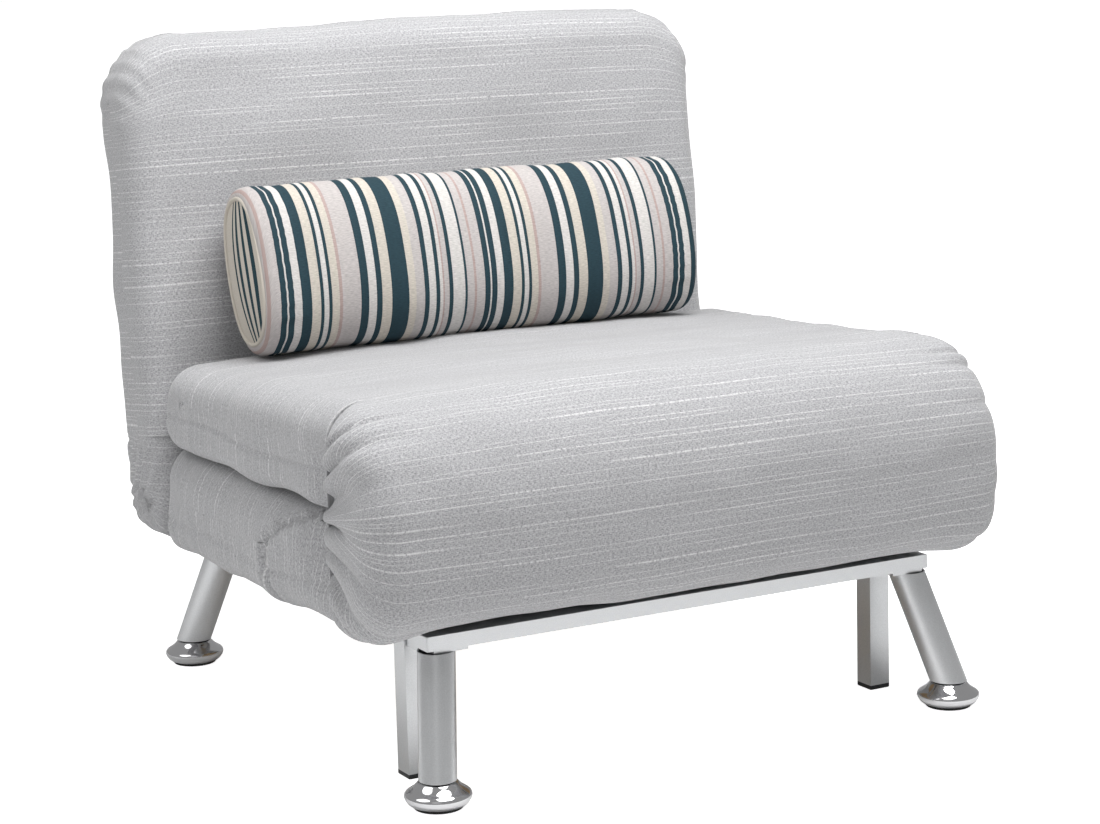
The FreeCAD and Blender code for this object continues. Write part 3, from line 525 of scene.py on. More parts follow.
def build_backrest(props):
    start = back_grid()
    x, n, s = np.moveaxis(start, -1, 0)
    low = 1 - smooth((s - BACK_START) / 0.05)
    amount = undulation(start, BACKREST_SWELLS) * (1 - low)
    corner = towards_sides(x, 0.24, 0.10) * smooth((s - 0.42) / 0.05)
    amount = amount + CORNER_PUCKER * corner * np.cos(x * 420 + s * 160)
    grid = push_out(start, amount, outward=-1.0)
    share = crown_share(x)
    on_front = 1 - smooth((n - BACK_FRONT) / 0.05)
    grid[..., 1] -= FRONT_CROWN * share * on_front * (1 - TOP_CROWN_CUT * smooth((s - 0.40) / 0.1))
    grid[..., 1] += REAR_CROWN * share * smooth((n + 0.01) / 0.04)
    fall = np.clip((np.abs(x) - SHOULDER_START) / SHOULDER_WIDTH, 0, 1) ** 2
    grid[..., 2] -= (TOP_CURVE * (x / 0.375) ** 2 + SHOULDER_DROP * fall) * smooth((s - 0.36) / 0.16)
    uv = weave_uv(grid, WEAVE_START["backrest"])
    grid[..., 1], grid[..., 2] = on_back(grid[..., 1], grid[..., 2])
    obj = grid_object("backrest_pad", grid, uv, caps=[closing(grid)])
    obj.data.materials.append(linen("linen_cloth", props))
    turn_outward(obj)
    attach(obj, "backrest")
    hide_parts("backrest_cover", "backrest_foam")


REAR_TUCK_DEPTH, REAR_TUCK = 0.010, 0.003  # how far it reaches up into the backrest, and in from its faces
REAR_FLOOR = 0.162  # its lowest line
REAR_REACH = 0.054  # how far it reaches behind the hinge line
REAR_CORNER = 0.046
REAR_MIDDLE = 0.268  # the depth that its sides close towards, from z 0.222 to 0.282
REAR_SIDE_ROWS = [0.2, 0.4, 0.6, 0.8, 1.0]
REAR_FOLD_HEIGHT = 0.0028


def build_rear_fold(props):
    """The loose cover between the lower layer and the backrest."""
    top = BACK_START + REAR_TUCK_DEPTH
    front_top = on_back(BACK_FRONT + REAR_TUCK, top)
    rear_top = on_back(BACK_REAR_LOW - REAR_TUCK, top)
    seat = (LOW_END + 0.0008, LOW_BOTTOM + 0.0006)
    rear_y = HINGE[0] + REAR_REACH
    corner = (rear_y - REAR_CORNER, REAR_FLOOR + REAR_CORNER)
    outline = joined(
        straight(front_top, seat, STEP),
        straight(seat, (corner[0], REAR_FLOOR), FINE_STEP),
        arc(corner, REAR_CORNER, 270, 360, ARC_POINTS),
        straight((rear_y, corner[1]), rear_top, FINE_STEP))
    target = np.column_stack([np.full(len(outline), REAR_MIDDLE), np.clip(outline[:, 1], 0.222, 0.282)])
    grid = cushion_grid(outline, target, BACK_EDGE, BACK_HALF, REAR_SIDE_ROWS)
    x, y, z = np.moveaxis(grid, -1, 0)
    free = smooth((z - 0.166) / 0.02) * (1 - smooth((z - 0.262) / 0.02))
    folds = np.cos((y * 1.3 + z) * 250 + 2 * np.sin(z * 90)) * towards_sides(x, 0.30, 0.05)
    folds = folds + 0.5 * np.cos(x * 160 + 1.7 * np.sin(x * 31)) * smooth((y - 0.285) / 0.02)
    amount = REAR_FOLD_HEIGHT * folds * free
    amount = np.where(y < 0.235, np.minimum(amount, 0) * 0.3, amount)
    grid = push_out(grid, amount)
    obj = grid_object("rear_fold", grid, weave_uv(grid, WEAVE_START["rear_fold"]))
    obj.data.materials.append(linen("linen_cloth", props))
    turn_outward(obj)
    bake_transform(obj)
    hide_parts("rear_fold_cover")


# Bolster

PILLOW_CENTRE = (-0.003, 0.160, 0.4722)
PILLOW_TILT = math.radians(16)
PILLOW_HALF = 0.286  # half its length
PILLOW_DEPTH, PILLOW_HEIGHT = 0.058, 0.094  # half its section
OVAL_POWER = 0.86  # below 1 the section is squarer than an ellipse
RING_POINTS = 120
END_RADIUS, END_INSET = 0.012, 0.008  # rounding of the cover's ends, and how far they stay back
BODY_SWELL = 0.0012
PANEL_INSET, PANEL_BULGE, PANEL_RINGS = 0.009, 0.009, 14
PIPING_INSET, PIPING_RADIUS = 0.0085, 0.0026


def oval_section(x, depth, height):
    """A ring round the bolster at x, with the given half sizes."""
    turn = np.linspace(0, 2 * math.pi, RING_POINTS, endpoint=False)
    c, s = np.cos(turn), np.sin(turn)
    return np.column_stack([np.full(RING_POINTS, x), np.sign(c) * np.abs(c) ** OVAL_POWER * depth,
                            np.sign(s) * np.abs(s) ** OVAL_POWER * height])


def tilted(points):
    """From the bolster's own frame to its place on the seat."""
    out = points.copy()
    c, s = math.cos(PILLOW_TILT), math.sin(PILLOW_TILT)
    out[..., 0] = points[..., 0] + PILLOW_CENTRE[0]
    out[..., 1] = PILLOW_CENTRE[1] + points[..., 1] * c + points[..., 2] * s
    out[..., 2] = PILLOW_CENTRE[2] + points[..., 2] * c - points[..., 1] * s
    return out


def ring_cord(name, path, radius, sides=8):
    """A round cord along a closed path."""
    ahead = np.roll(path, -1, axis=0) - np.roll(path, 1, axis=0)
    ahead /= np.linalg.norm(ahead, axis=1, keepdims=True)
    first = np.cross(ahead, np.array([1.0, 0.0, 0.0]))
    first /= np.maximum(np.linalg.norm(first, axis=1, keepdims=True), 1e-9)
    second = np.cross(ahead, first)
    rings = []
    for k in range(sides):
        turn = 2 * math.pi * k / sides
        rings.append(path + radius * (math.cos(turn) * first + math.sin(turn) * second))
    grid = np.stack(rings, axis=1)
    grid = np.concatenate([grid, grid[:1]], axis=0)
    uv = np.stack([lengths(grid, 0), np.broadcast_to(np.arange(sides) / sides, grid.shape[:2])], axis=-1)
    uv = np.concatenate([uv, uv[:, :1]], axis=1)
    return grid_object(name, grid, uv, wrap=True)


def bolster_grid():
    """The bolster's cover, rounded and puckered towards its ends."""
    edge = []
    for angle in np.linspace(90, 0, 8):
        turn = math.radians(angle)
        edge.append((PILLOW_HALF - END_INSET - END_RADIUS * (1 - math.sin(turn)),
                     END_RADIUS * (1 - math.cos(turn))))
    flat = [(x, 0.0) for x in np.linspace(edge[-1][0], -edge[-1][0], 90)]
    rings = []
    for x, inset in edge[:-1] + flat + [(-x, inset) for x, inset in edge[::-1][1:]]:
        grow = BODY_SWELL * (1 - (x / PILLOW_HALF) ** 2)
        rings.append(oval_section(x, PILLOW_DEPTH - inset + grow, PILLOW_HEIGHT - inset + grow))
    grid = np.array(rings)
    reach = np.abs(grid[..., 0])
    near_end = smooth((reach - 0.225) / 0.03) * (1 - smooth((reach - 0.256) / 0.014))
    turn = np.arctan2(grid[..., 2], grid[..., 1])
    amount = 0.0008 * ripple(grid, 0.09, 31) + 0.0008 * near_end * np.cos(turn * 29 + 2 * np.sin(turn * 5))
    return push_out(grid, amount, wrap=True)


def end_panel(side):
    """One end of the bolster, from its rim to its middle, with the coordinates of its bands."""
    rings = []
    for share in np.linspace(0.0, 1.0, PANEL_RINGS):
        bulge = PANEL_BULGE * (1 - (1 - share) ** 2.2)
        rings.append(oval_section(side * (PILLOW_HALF - PANEL_INSET + bulge),
                                  (PILLOW_DEPTH - END_RADIUS) * (1 - share),
                                  (PILLOW_HEIGHT - END_RADIUS) * (1 - share)))
    grid = np.array(rings)
    room = np.sqrt(np.clip(1 - (grid[..., 2] / PILLOW_HEIGHT) ** 2, 0.04, 1))
    place = np.clip(grid[..., 1] / (PILLOW_DEPTH * room), -0.999, 0.999)
    uv = np.stack([place, grid[..., 2]], axis=-1)
    return grid, np.concatenate([uv, uv[:, :1]], axis=1)


def build_pillow():
    """The bolster's cover, its two end panels and the piping round them."""
    grid = bolster_grid()
    across = grid[..., 0]
    around = lengths(grid, 1)
    around = np.concatenate([around, around[:, -1:] + 0.004], axis=1)
    uv = np.stack([np.concatenate([across, across[:, :1]], axis=1), around], axis=-1)
    obj = grid_object("bolster", tilted(grid), uv, wrap=True)
    obj.data.materials.append(striped_cloth("bolster_stripes", STRIPES, STRIPE_PERIOD, STRIPE_START))
    turn_outward(obj)
    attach(obj, "pillow")
    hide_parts("pillow_cover", "pillow_filling")

    cream = plain_cloth("cream_cloth", (0.52, 0.48, 0.42))
    for side, hand in SIDES:
        grid, uv = end_panel(side)
        end = grid_object("bolster_end_" + hand, tilted(grid), uv, wrap=True)
        end.data.materials.append(striped_cloth("bolster_end_stripes", END_BANDS, END_PERIOD, END_START))
        turn_side(end, side)
        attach(end, "pillow")
        path = oval_section(side * (PILLOW_HALF - PIPING_INSET), PILLOW_DEPTH - END_RADIUS,
                            PILLOW_HEIGHT - END_RADIUS)
        cord = ring_cord("bolster_piping_" + hand, tilted(path), PIPING_RADIUS)
        cord.data.materials.append(cream)
        turn_outward(cord)
        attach(cord, "pillow")


def turn_side(obj, side):
    """Point a near-flat piece's faces towards one side of the chair."""
    mesh = obj.data
    total = sum(p.normal.x * p.area for p in mesh.polygons)
    if total * side < 0:
        mesh.flip_normals()


# Feet

def turned(name, profile, centre, count=64):
    """A body of revolution about a vertical line: profile is (radius, z)."""
    rows = []
    for radius, z in profile:
        turn = np.linspace(0, 2 * math.pi, count, endpoint=False)
        rows.append(np.column_stack([centre[0] + radius * np.cos(turn), centre[1] + radius * np.sin(turn),
                                     np.full(count, z)]))
    grid = np.array(rows)
    uv = np.zeros((len(rows), count + 1, 2))
    obj = grid_object(name, grid, uv, wrap=True)
    turn_outward(obj)
    return obj


FOOT_PLACES = {"front": (0.309, -0.3375, "extension"), "rear": (0.309, 0.2945, "base_frame")}
FOOT_PROFILE = [
    (0.0002, 0.0030), (0.0235, 0.0030), (0.0240, 0.0022), (0.0275, 0.0034), (0.0305, 0.0057),
    (0.0327, 0.0088), (0.0337, 0.0117), (0.0333, 0.0141), (0.0318, 0.0160), (0.0292, 0.0177),
    (0.0262, 0.0196), (0.0237, 0.0217), (0.0217, 0.0238), (0.0202, 0.0256), (0.0188, 0.0266),
    (0.0165, 0.0270), (0.0120, 0.0272), (0.0060, 0.0273), (0.0044, 0.0278), (0.0040, 0.0290),
    (0.0040, 0.0375), (0.0002, 0.0375)]
PAD_PROFILE = [(0.0002, 0.0), (0.0240, 0.0), (0.0246, 0.0006), (0.0246, 0.0026), (0.0002, 0.0026)]

RAIL_FACE = (0.0015, 0.030, 0.015)  # thickness, depth and height of a face
RAIL_END = (0.30175, -0.295, 0.1545)  # its centre on the right
RAIL_BEVEL = 0.0004


def build_feet():
    """Domed caps that curve under to thin rubber pads and flare up to the legs."""
    kinds = (("foot", FOOT_PROFILE, chrome("mirror_chrome"), "_feet", "chrome"),
             ("pad", PAD_PROFILE, NODE_FINISH["rubber"](), "_foot_pads", "rubber"))
    for end, (x, y, body) in FOOT_PLACES.items():
        for side, hand in SIDES:
            for kind, profile, material, node, slot in kinds:
                obj = turned("%s_%s_%s" % (end, kind, hand), profile, (side * x, y))
                obj.data.materials.append(material)
                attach(obj, body)
                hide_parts(end + node)


def build_rail_ends():
    """Silver faces that close the ends of the front rail."""
    for side, hand in SIDES:
        work = bmesh.new()
        bmesh.ops.create_cube(work, size=1.0)
        bmesh.ops.scale(work, vec=RAIL_FACE, verts=work.verts)
        bmesh.ops.bevel(work, geom=work.edges[:], offset=RAIL_BEVEL, segments=2, affect="EDGES")
        bmesh.ops.translate(work, vec=(side * RAIL_END[0], *RAIL_END[1:]), verts=work.verts)
        mesh = bpy.data.meshes.new("rail_end_" + hand)
        work.to_mesh(mesh)
        work.free()
        obj = new_object("rail_end_" + hand, mesh)
        mesh.materials.append(NODE_FINISH["silver_paint"]())
        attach(obj, "extension")
        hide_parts("front_rail_end_caps")


# Materials

def new_material(name):
    found = bpy.data.materials.get(name)
    if found:
        return found, None, None
    material = bpy.data.materials.new(name)
    material.use_nodes = True
    tree = material.node_tree
    shader = tree.nodes["Principled BSDF"]
    return material, tree, shader


def add(tree, kind, **values):
    node = tree.nodes.new(kind)
    for key, value in values.items():
        setattr(node, key, value)
    return node


def put(node, values):
    """Set a node's inputs by name."""
    for key, value in values.items():
        node.inputs[key].default_value = value


def math_node(tree, operation, a, b=None, c=None, clamp=False):
    node = tree.nodes.new("ShaderNodeMath")
    node.operation = operation
    node.use_clamp = clamp
    for index, value in enumerate((a, b, c)):
        if value is None:
            continue
        if isinstance(value, (int, float)):
            node.inputs[index].default_value = value
        else:
            tree.links.new(value, node.inputs[index])
    return node.outputs[0]


def mix_colour(tree, factor, a, b, blend="MIX"):
    node = tree.nodes.new("ShaderNodeMix")
    node.data_type = "RGBA"
    node.blend_type = blend
    for socket, value in ((node.inputs[0], factor), (node.inputs[6], a), (node.inputs[7], b)):
        if isinstance(value, (int, float)):
            socket.default_value = value
        elif isinstance(value, (tuple, list)):
            socket.default_value = (*value, 1.0) if len(value) == 3 else value
        else:
            tree.links.new(value, socket)
    return node.outputs[2]


def grey(tree, value):
    """A grey colour of the given level."""
    node = add(tree, "ShaderNodeCombineColor")
    for socket in node.inputs[:3]:
        tree.links.new(value, socket)
    return node.outputs[0]


def weave_axes(tree):
    """Cloth coordinates in metres: across the chair, and along the cloth."""
    uv = add(tree, "ShaderNodeUVMap", uv_map="weave")
    split = add(tree, "ShaderNodeSeparateXYZ")
    tree.links.new(uv.outputs[0], split.inputs[0])
    return split.outputs[0], split.outputs[1]


def noise(tree, vector, scale, detail=2.0, roughness=0.5):
    node = add(tree, "ShaderNodeTexNoise")
    put(node, {"Scale": scale, "Detail": detail, "Roughness": roughness})
    tree.links.new(vector, node.inputs["Vector"])
    return node.outputs["Fac"]


def cloth_noise(tree, across, along, detail=0.0):
    """Noise with so many spots per metre across the chair and along the cloth."""
    uv = add(tree, "ShaderNodeUVMap", uv_map="weave")
    mapping = add(tree, "ShaderNodeMapping")
    mapping.inputs["Scale"].default_value = (across, along, 1.0)
    tree.links.new(uv.outputs[0], mapping.inputs["Vector"])
    return noise(tree, mapping.outputs[0], 1.0, detail)


def emboss(tree, shader, height, strength, distance):
    relief = add(tree, "ShaderNodeBump")
    put(relief, {"Strength": strength, "Distance": distance})
    tree.links.new(height, relief.inputs["Height"])
    tree.links.new(relief.outputs[0], shader.inputs["Normal"])


THREAD_ROWS = 165.0  # light threads per metre
THREAD_WAVER = 1.2  # how far they stray, in rows
THREAD_STRENGTH = 0.7
THREAD_COLOUR = (0.80, 0.80, 0.80)
GROUND_DARK, GROUND_LIGHT = 0.62, 1.38


def linen(name, props):
    """Grey slub weave: white threads run across the chair on a heathered ground."""
    material, tree, shader = new_material(name)
    if tree is None:
        return material
    row = math_node(tree, "MULTIPLY_ADD", weave_axes(tree)[1], THREAD_ROWS, 50.0)
    row = math_node(tree, "MULTIPLY_ADD", cloth_noise(tree, 1.2, 110.0), THREAD_WAVER, row)
    offset = math_node(tree, "ABSOLUTE", math_node(tree, "SUBTRACT", math_node(tree, "FRACT", row), 0.5))
    thread = math_node(tree, "MULTIPLY_ADD", offset, -8.0, 1.0, clamp=True)
    patch = math_node(tree, "MULTIPLY_ADD", cloth_noise(tree, 6.0, 170.0), 4.0, -1.45, clamp=True)
    beads = math_node(tree, "MULTIPLY_ADD", cloth_noise(tree, 420.0, 60.0), 3.0, -0.7, clamp=True)
    slub = math_node(tree, "MULTIPLY", math_node(tree, "MULTIPLY", thread, patch), beads)
    weft = math_node(tree, "MULTIPLY", cloth_noise(tree, 330.0, 1250.0, 1.0), 0.6)
    warp = math_node(tree, "MULTIPLY", cloth_noise(tree, 1250.0, 300.0, 1.0), 0.4)
    heather = math_node(tree, "ADD", weft, warp)
    contrast = math_node(tree, "MULTIPLY_ADD", heather, 3.4, -1.20, clamp=True)
    dark = tuple(c * GROUND_DARK for c in props.cloth_colour)
    light = tuple(min(1.0, c * GROUND_LIGHT) for c in props.cloth_colour)
    ground = mix_colour(tree, contrast, dark, light)
    colour = mix_colour(tree, math_node(tree, "MULTIPLY", slub, THREAD_STRENGTH), ground, THREAD_COLOUR)
    tree.links.new(colour, shader.inputs["Base Color"])
    put(shader, {"Roughness": 0.92, "Specular IOR Level": 0.25, "Sheen Weight": 0.25,
                 "Sheen Roughness": 0.5})
    height = math_node(tree, "ADD", heather, math_node(tree, "MULTIPLY", slub, 0.5))
    emboss(tree, shader, height, 0.45, 0.0005)
    return material


def plain_cloth(name, colour):
    material, tree, shader = new_material(name)
    if tree is None:
        return material
    put(shader, {"Base Color": (*colour, 1.0), "Roughness": 0.9})
    return material


DARK = (0.016, 0.042, 0.056)
CREAM = (0.53, 0.49, 0.43)
BLUSH = (0.40, 0.31, 0.29)
PALE = (0.46, 0.43, 0.42)
WHITE = (0.57, 0.55, 0.53)

# Widths in millimetres; the pattern repeats along the bolster
STRIPES = [(20, DARK), (9, CREAM), (11, PALE), (6, DARK), (9, WHITE), (5, DARK), (4, WHITE), (2, BLUSH),
           (6, PALE), (5, DARK), (15, WHITE), (3, DARK), (9, PALE), (3, BLUSH), (11, PALE), (7, DARK),
           (2, WHITE), (7, DARK), (9, WHITE), (12, DARK), (11, CREAM), (4, DARK), (6, WHITE), (4, DARK),
           (9, CREAM), (4, BLUSH), (23, PALE), (10, DARK), (10, WHITE), (7, DARK), (12, CREAM)]
STRIPE_PERIOD, STRIPE_START = 0.252, -0.1278  # in metres

# Bands of an end panel, from its rear edge to its front edge, where places run from -1 to 1; the last
# two belong to the flap over the zip
END_BANDS = [(7, DARK), (4, CREAM), (6, DARK), (5, CREAM), (7, DARK), (8, CREAM), (6, DARK), (9, CREAM),
             (7, DARK), (8, CREAM), (5, DARK), (42, CREAM), (2, BLUSH), (14, CREAM)]
END_PERIOD, END_START = 2.0, -1.0


def ramp(tree, factor, bands):
    node = add(tree, "ShaderNodeValToRGB")
    node.color_ramp.interpolation = "CONSTANT"
    elements = node.color_ramp.elements
    total = sum(width for width, _ in bands)
    place = 0.0
    for index, (width, colour) in enumerate(bands):
        element = elements[index] if index < 2 else elements.new(place / total)
        element.position = place / total
        element.color = (*colour, 1.0)
        place += width
    tree.links.new(factor, node.inputs[0])
    return node.outputs[0]


def striped_cloth(name, pattern, period, start):
    """Woven stripes across the bolster's length; the pattern fills one period from start."""
    material, tree, shader = new_material(name)
    if tree is None:
        return material
    place = math_node(tree, "MULTIPLY_ADD", weave_axes(tree)[0], 1 / period, 10.0 - start / period)
    bands = ramp(tree, math_node(tree, "FRACT", place), pattern)
    weave = cloth_noise(tree, 200.0, 1100.0, 1.0)
    shade = grey(tree, math_node(tree, "MULTIPLY_ADD", weave, 0.8, 0.58))
    tree.links.new(mix_colour(tree, 1.0, bands, shade, "MULTIPLY"), shader.inputs["Base Color"])
    put(shader, {"Roughness": 0.85, "Specular IOR Level": 0.3})
    emboss(tree, shader, weave, 0.3, 0.0004)
    return material


def chrome(name):
    material, tree, shader = new_material(name)
    if tree is None:
        return material
    put(shader, {"Base Color": (0.62, 0.62, 0.63, 1.0), "Metallic": 1.0, "Roughness": 0.07})
    return material


def flecked(name, colour, roughness, metallic, scale, detail, contrast, least):
    """A plain finish with fine flecks: noise of the given scale and detail, spread from least upwards."""
    material, tree, shader = new_material(name)
    if tree is None:
        return material
    place = add(tree, "ShaderNodeTexCoord")
    grain = noise(tree, place.outputs["Object"], scale, detail)
    tone = grey(tree, math_node(tree, "MULTIPLY_ADD", grain, contrast, least))
    tree.links.new(mix_colour(tree, 1.0, colour, tone, "MULTIPLY"), shader.inputs["Base Color"])
    put(shader, {"Metallic": metallic, "Roughness": roughness})
    return material


def metal_paint(name, colour, roughness):
    return flecked(name, colour, roughness, 0.85, 900.0, 2.0, 0.30, 0.85)


def plain(name, colour, roughness):
    return flecked(name, colour, roughness, 0.0, 350.0, 3.0, 0.35, 0.82)


def wood(name):
    material, tree, shader = new_material(name)
    if tree is None:
        return material
    place = add(tree, "ShaderNodeTexCoord")
    mapping = add(tree, "ShaderNodeMapping")
    mapping.inputs["Scale"].default_value = (160.0, 5.0, 160.0)
    tree.links.new(place.outputs["Object"], mapping.inputs["Vector"])
    grain = noise(tree, mapping.outputs[0], 1.0, 4.0, 0.6)
    colour = mix_colour(tree, grain, (0.50, 0.34, 0.19), (0.74, 0.58, 0.38))
    tree.links.new(colour, shader.inputs["Base Color"])
    shader.inputs["Roughness"].default_value = 0.5
    return material


NODE_FINISH = {
    "silver_paint": lambda: metal_paint("silver_paint_finish", (0.64, 0.65, 0.66), 0.34),
    "zinc_steel": lambda: metal_paint("zinc_steel_finish", (0.50, 0.51, 0.52), 0.42),
    "black_plastic": lambda: plain("black_plastic_finish", (0.020, 0.020, 0.021), 0.45),
    "rubber": lambda: plain("rubber_finish", (0.022, 0.022, 0.022), 0.75),
    "birch": lambda: wood("birch_finish"),
    "webbing": lambda: plain("webbing_finish", (0.06, 0.06, 0.062), 0.9),
    "chrome": lambda: chrome("mirror_chrome"),
    "foam": lambda: plain("foam_finish", (0.75, 0.70, 0.55), 0.95),
    "linen": lambda: plain("linen_spare_finish", (0.40, 0.40, 0.41), 0.9),
    "pillow_stripe": lambda: plain("stripe_spare_finish", (0.30, 0.30, 0.31), 0.9),
}


def dress_nodes():
    """Better finishes on the solids that stay in view."""
    slots = {part["node"]: part["material_slot"] for part in frame["record"]["subparts"]}
    for name, obj in frame["nodes"].items():
        if name not in slots:
            raise RuntimeError("no material slot for " + name)
        material = NODE_FINISH[slots[name]]()
        if not obj.material_slots:
            obj.data.materials.append(material)
        for place in obj.material_slots:
            place.material = material


# Stage

FLOOR_HALF = 30.0
FLOOR_GREY = 0.93

# Name, place, point aimed at, diameter, and the setting that holds the power
LAMPS = (("key", (-1.9, -2.8, 2.6), (0, 0, 0.35), 2.2, "key_power"),
         ("side", (-1.5, 0.0, 1.7), (0, 0, 0.3), 1.4, "side_power"),
         ("top", (0.10, -0.60, 1.95), (0.05, -0.05, 0.35), 1.2, "top_power"))

# The photograph's camera: lens and sensor in millimetres, place in metres, and azimuth, elevation and
# roll in degrees
LENS, SENSOR = 88.8, 36.0
SHIFT_X, SHIFT_Y = 0.0188, -0.0585
CAMERA_PLACE = (-1.4360, -2.6162, 0.8516)
CAMERA_ANGLES = (-28.58, 8.99, -1.57)


def build_floor(props):
    """A white floor that looks paler to the camera than it is lit."""
    mesh = bpy.data.meshes.new("studio_floor")
    size = FLOOR_HALF
    corners = [(-size, -size, 0), (size, -size, 0), (size, size, 0), (-size, size, 0)]
    mesh.from_pydata(corners, [], [(0, 1, 2, 3)])
    floor = new_object("studio_floor", mesh)
    material, tree, shader = new_material("studio_floor_white")
    if tree is not None:
        put(shader, {"Base Color": (FLOOR_GREY, FLOOR_GREY, FLOOR_GREY, 1.0), "Roughness": 1.0,
                     "Specular IOR Level": 0.0})
        path = add(tree, "ShaderNodeLightPath")
        glow = add(tree, "ShaderNodeEmission")
        glow.inputs["Color"].default_value = (1, 1, 1, 1)
        blend = add(tree, "ShaderNodeAddShader")
        tree.links.new(shader.outputs[0], blend.inputs[0])
        tree.links.new(glow.outputs[0], blend.inputs[1])
        tree.links.new(math_node(tree, "MULTIPLY", path.outputs["Is Camera Ray"], props.floor_glow),
                       glow.inputs["Strength"])
        tree.links.new(blend.outputs[0], tree.nodes["Material Output"].inputs["Surface"])
    mesh.materials.append(material)
    return floor


def build_world(props):
    """A white surround that lights the chair at sky_level."""
    world = bpy.data.worlds.new("studio")
    bpy.context.scene.world = world
    world.use_nodes = True
    tree = world.node_tree
    background = tree.nodes["Background"]
    background.inputs["Color"].default_value = (1, 1, 1, 1)
    seen = add(tree, "ShaderNodeLightPath").outputs["Is Camera Ray"]
    strength = math_node(tree, "MULTIPLY_ADD", seen, 1.0 - props.sky_level, props.sky_level)
    tree.links.new(strength, background.inputs["Strength"])


def build_lamps(props):
    for name, place, aim, size, power in LAMPS:
        lamp = bpy.data.lights.new("studio_" + name, "AREA")
        lamp.shape = "DISK"
        lamp.size = size
        lamp.energy = getattr(props, power)
        obj = new_object("studio_" + name, lamp)
        obj.location = place
        obj.rotation_euler = (Vector(aim) - Vector(place)).to_track_quat("-Z", "Y").to_euler()


def build_camera():
    """The photograph's camera, as it was fitted to the frame and the feet."""
    camera = bpy.data.cameras.new("photo_camera")
    camera.sensor_fit = "HORIZONTAL"
    camera.sensor_width = SENSOR
    camera.lens = LENS
    camera.shift_x = SHIFT_X
    camera.shift_y = SHIFT_Y
    view = new_object("photo_camera", camera)
    az, el, roll = (math.radians(angle) for angle in CAMERA_ANGLES)
    back = Vector((math.sin(az) * math.cos(el), -math.cos(az) * math.cos(el), math.sin(el)))
    right = Vector((math.cos(az), math.sin(az), 0))
    up = right.cross(-back)
    image_right = math.cos(roll) * right + math.sin(roll) * up
    image_up = -math.sin(roll) * right + math.cos(roll) * up
    turn = Matrix((image_right, image_up, back)).transposed().to_4x4()
    view.matrix_world = Matrix.Translation(CAMERA_PLACE) @ turn
    bpy.context.scene.camera = view


def build_stage(props):
    floor = build_floor(props)
    build_world(props)
    build_lamps(props)
    build_camera()
    bpy.context.scene.view_settings.view_transform = "Standard"


# The add-on

class ChairBedLook(bpy.types.PropertyGroup):
    """Colours and light levels that a user may change."""
    cloth_colour: bpy.props.FloatVectorProperty(
        name="Cloth", description="Ground colour of the grey cover", subtype="COLOR", size=3,
        default=(0.37, 0.37, 0.38), min=0.0, max=1.0)
    key_power: bpy.props.FloatProperty(
        name="Key light", description="Power of the large lamp in front", default=3.0, min=0.0, unit="POWER")
    side_power: bpy.props.FloatProperty(
        name="Side light", description="Power of the lamp on the left", default=11.0, min=0.0, unit="POWER")
    top_power: bpy.props.FloatProperty(
        name="Top light", description="Power of the lamp overhead", default=39.0, min=0.0, unit="POWER")
    sky_level: bpy.props.FloatProperty(
        name="Surround", description="Light from all round", default=0.38, min=0.0, subtype="FACTOR")
    floor_glow: bpy.props.FloatProperty(
        name="Floor glow", description="How much paler the floor looks than it is lit", default=0.9, min=0.0,
        subtype="FACTOR")


def look():
    return bpy.context.scene.chair_bed_look


class CHAIRBED_OT_mattress(bpy.types.Operator):
    """Build the folded mattress"""
    bl_idname = "chair_bed.mattress"
    bl_label = "Mattress"

    def execute(self, context):
        build_mattress(look())
        return {"FINISHED"}


class CHAIRBED_OT_backrest(bpy.types.Operator):
    """Build the backrest and the loose cover behind the seat"""
    bl_idname = "chair_bed.backrest"
    bl_label = "Backrest"

    def execute(self, context):
        build_backrest(look())
        build_rear_fold(look())
        return {"FINISHED"}


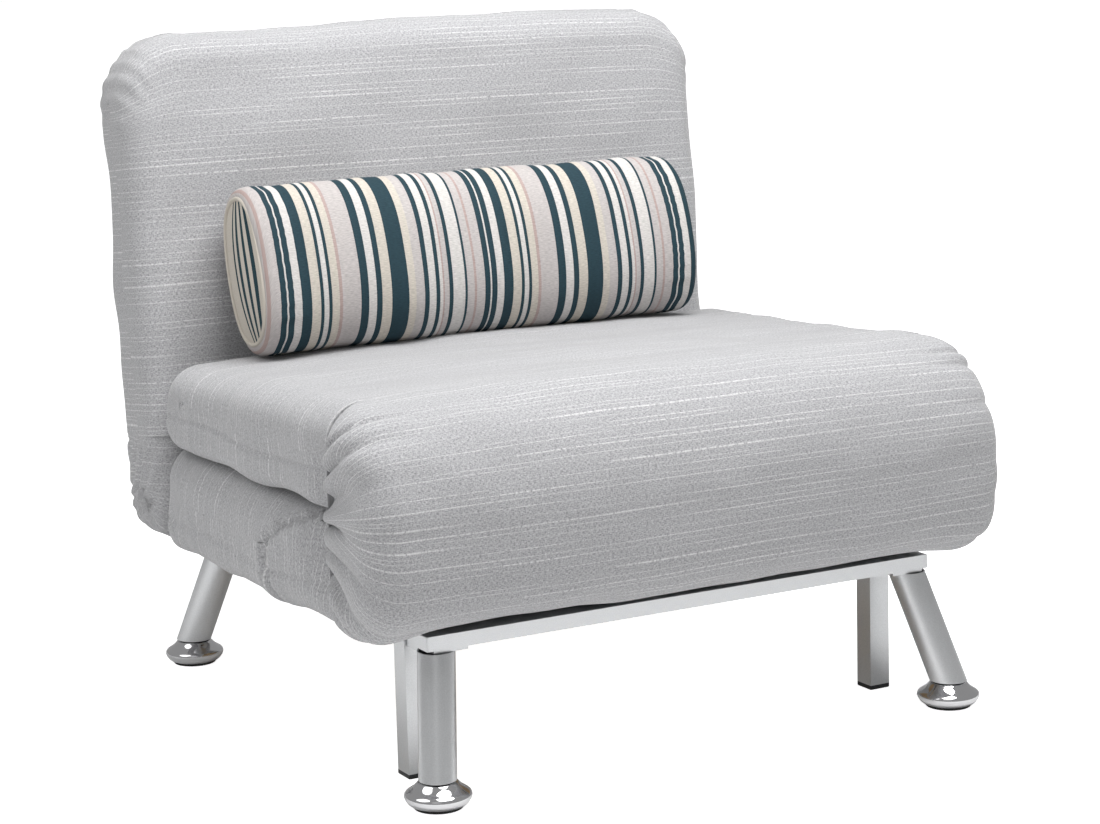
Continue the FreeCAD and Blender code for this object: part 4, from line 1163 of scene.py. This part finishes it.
class CHAIRBED_OT_bolster(bpy.types.Operator):
    """Build the striped bolster with its piped ends"""
    bl_idname = "chair_bed.bolster"
    bl_label = "Bolster"

    def execute(self, context):
        build_pillow()
        return {"FINISHED"}


class CHAIRBED_OT_feet(bpy.types.Operator):
    """Build the domed feet and the front rail's end faces"""
    bl_idname = "chair_bed.feet"
    bl_label = "Feet"

    def execute(self, context):
        build_feet()
        build_rail_ends()
        return {"FINISHED"}


class CHAIRBED_OT_finishes(bpy.types.Operator):
    """Give the frame's tubes, slats and hinges their finishes"""
    bl_idname = "chair_bed.finishes"
    bl_label = "Frame finishes"

    def execute(self, context):
        dress_nodes()
        return {"FINISHED"}


class CHAIRBED_OT_stage(bpy.types.Operator):
    """Build the floor, the lights and the camera"""
    bl_idname = "chair_bed.stage"
    bl_label = "Stage"

    def execute(self, context):
        build_stage(look())
        return {"FINISHED"}


STEPS = ("finishes", "mattress", "backrest", "bolster", "feet", "stage")


class CHAIRBED_PT_panel(bpy.types.Panel):
    """Lists the pieces of the chair bed"""
    bl_idname = "CHAIRBED_PT_panel"
    bl_label = "Chair Bed"
    bl_space_type = "VIEW_3D"
    bl_region_type = "UI"
    bl_category = "Chair Bed"

    def draw(self, context):
        for name in ChairBedLook.__annotations__:
            self.layout.prop(context.scene.chair_bed_look, name)
        for step in STEPS:
            self.layout.operator("chair_bed." + step)


CLASSES = (ChairBedLook, CHAIRBED_OT_mattress, CHAIRBED_OT_backrest, CHAIRBED_OT_bolster, CHAIRBED_OT_feet,
           CHAIRBED_OT_finishes, CHAIRBED_OT_stage, CHAIRBED_PT_panel)


def register():
    for cls in CLASSES:
        bpy.utils.register_class(cls)
    bpy.types.Scene.chair_bed_look = bpy.props.PointerProperty(type=ChairBedLook)


def unregister():
    del bpy.types.Scene.chair_bed_look
    for cls in reversed(CLASSES):
        bpy.utils.unregister_class(cls)


def main():
    register()
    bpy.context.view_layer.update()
    for step in STEPS:
        getattr(bpy.ops.chair_bed, step)()


if __name__ == "__main__":
    main()
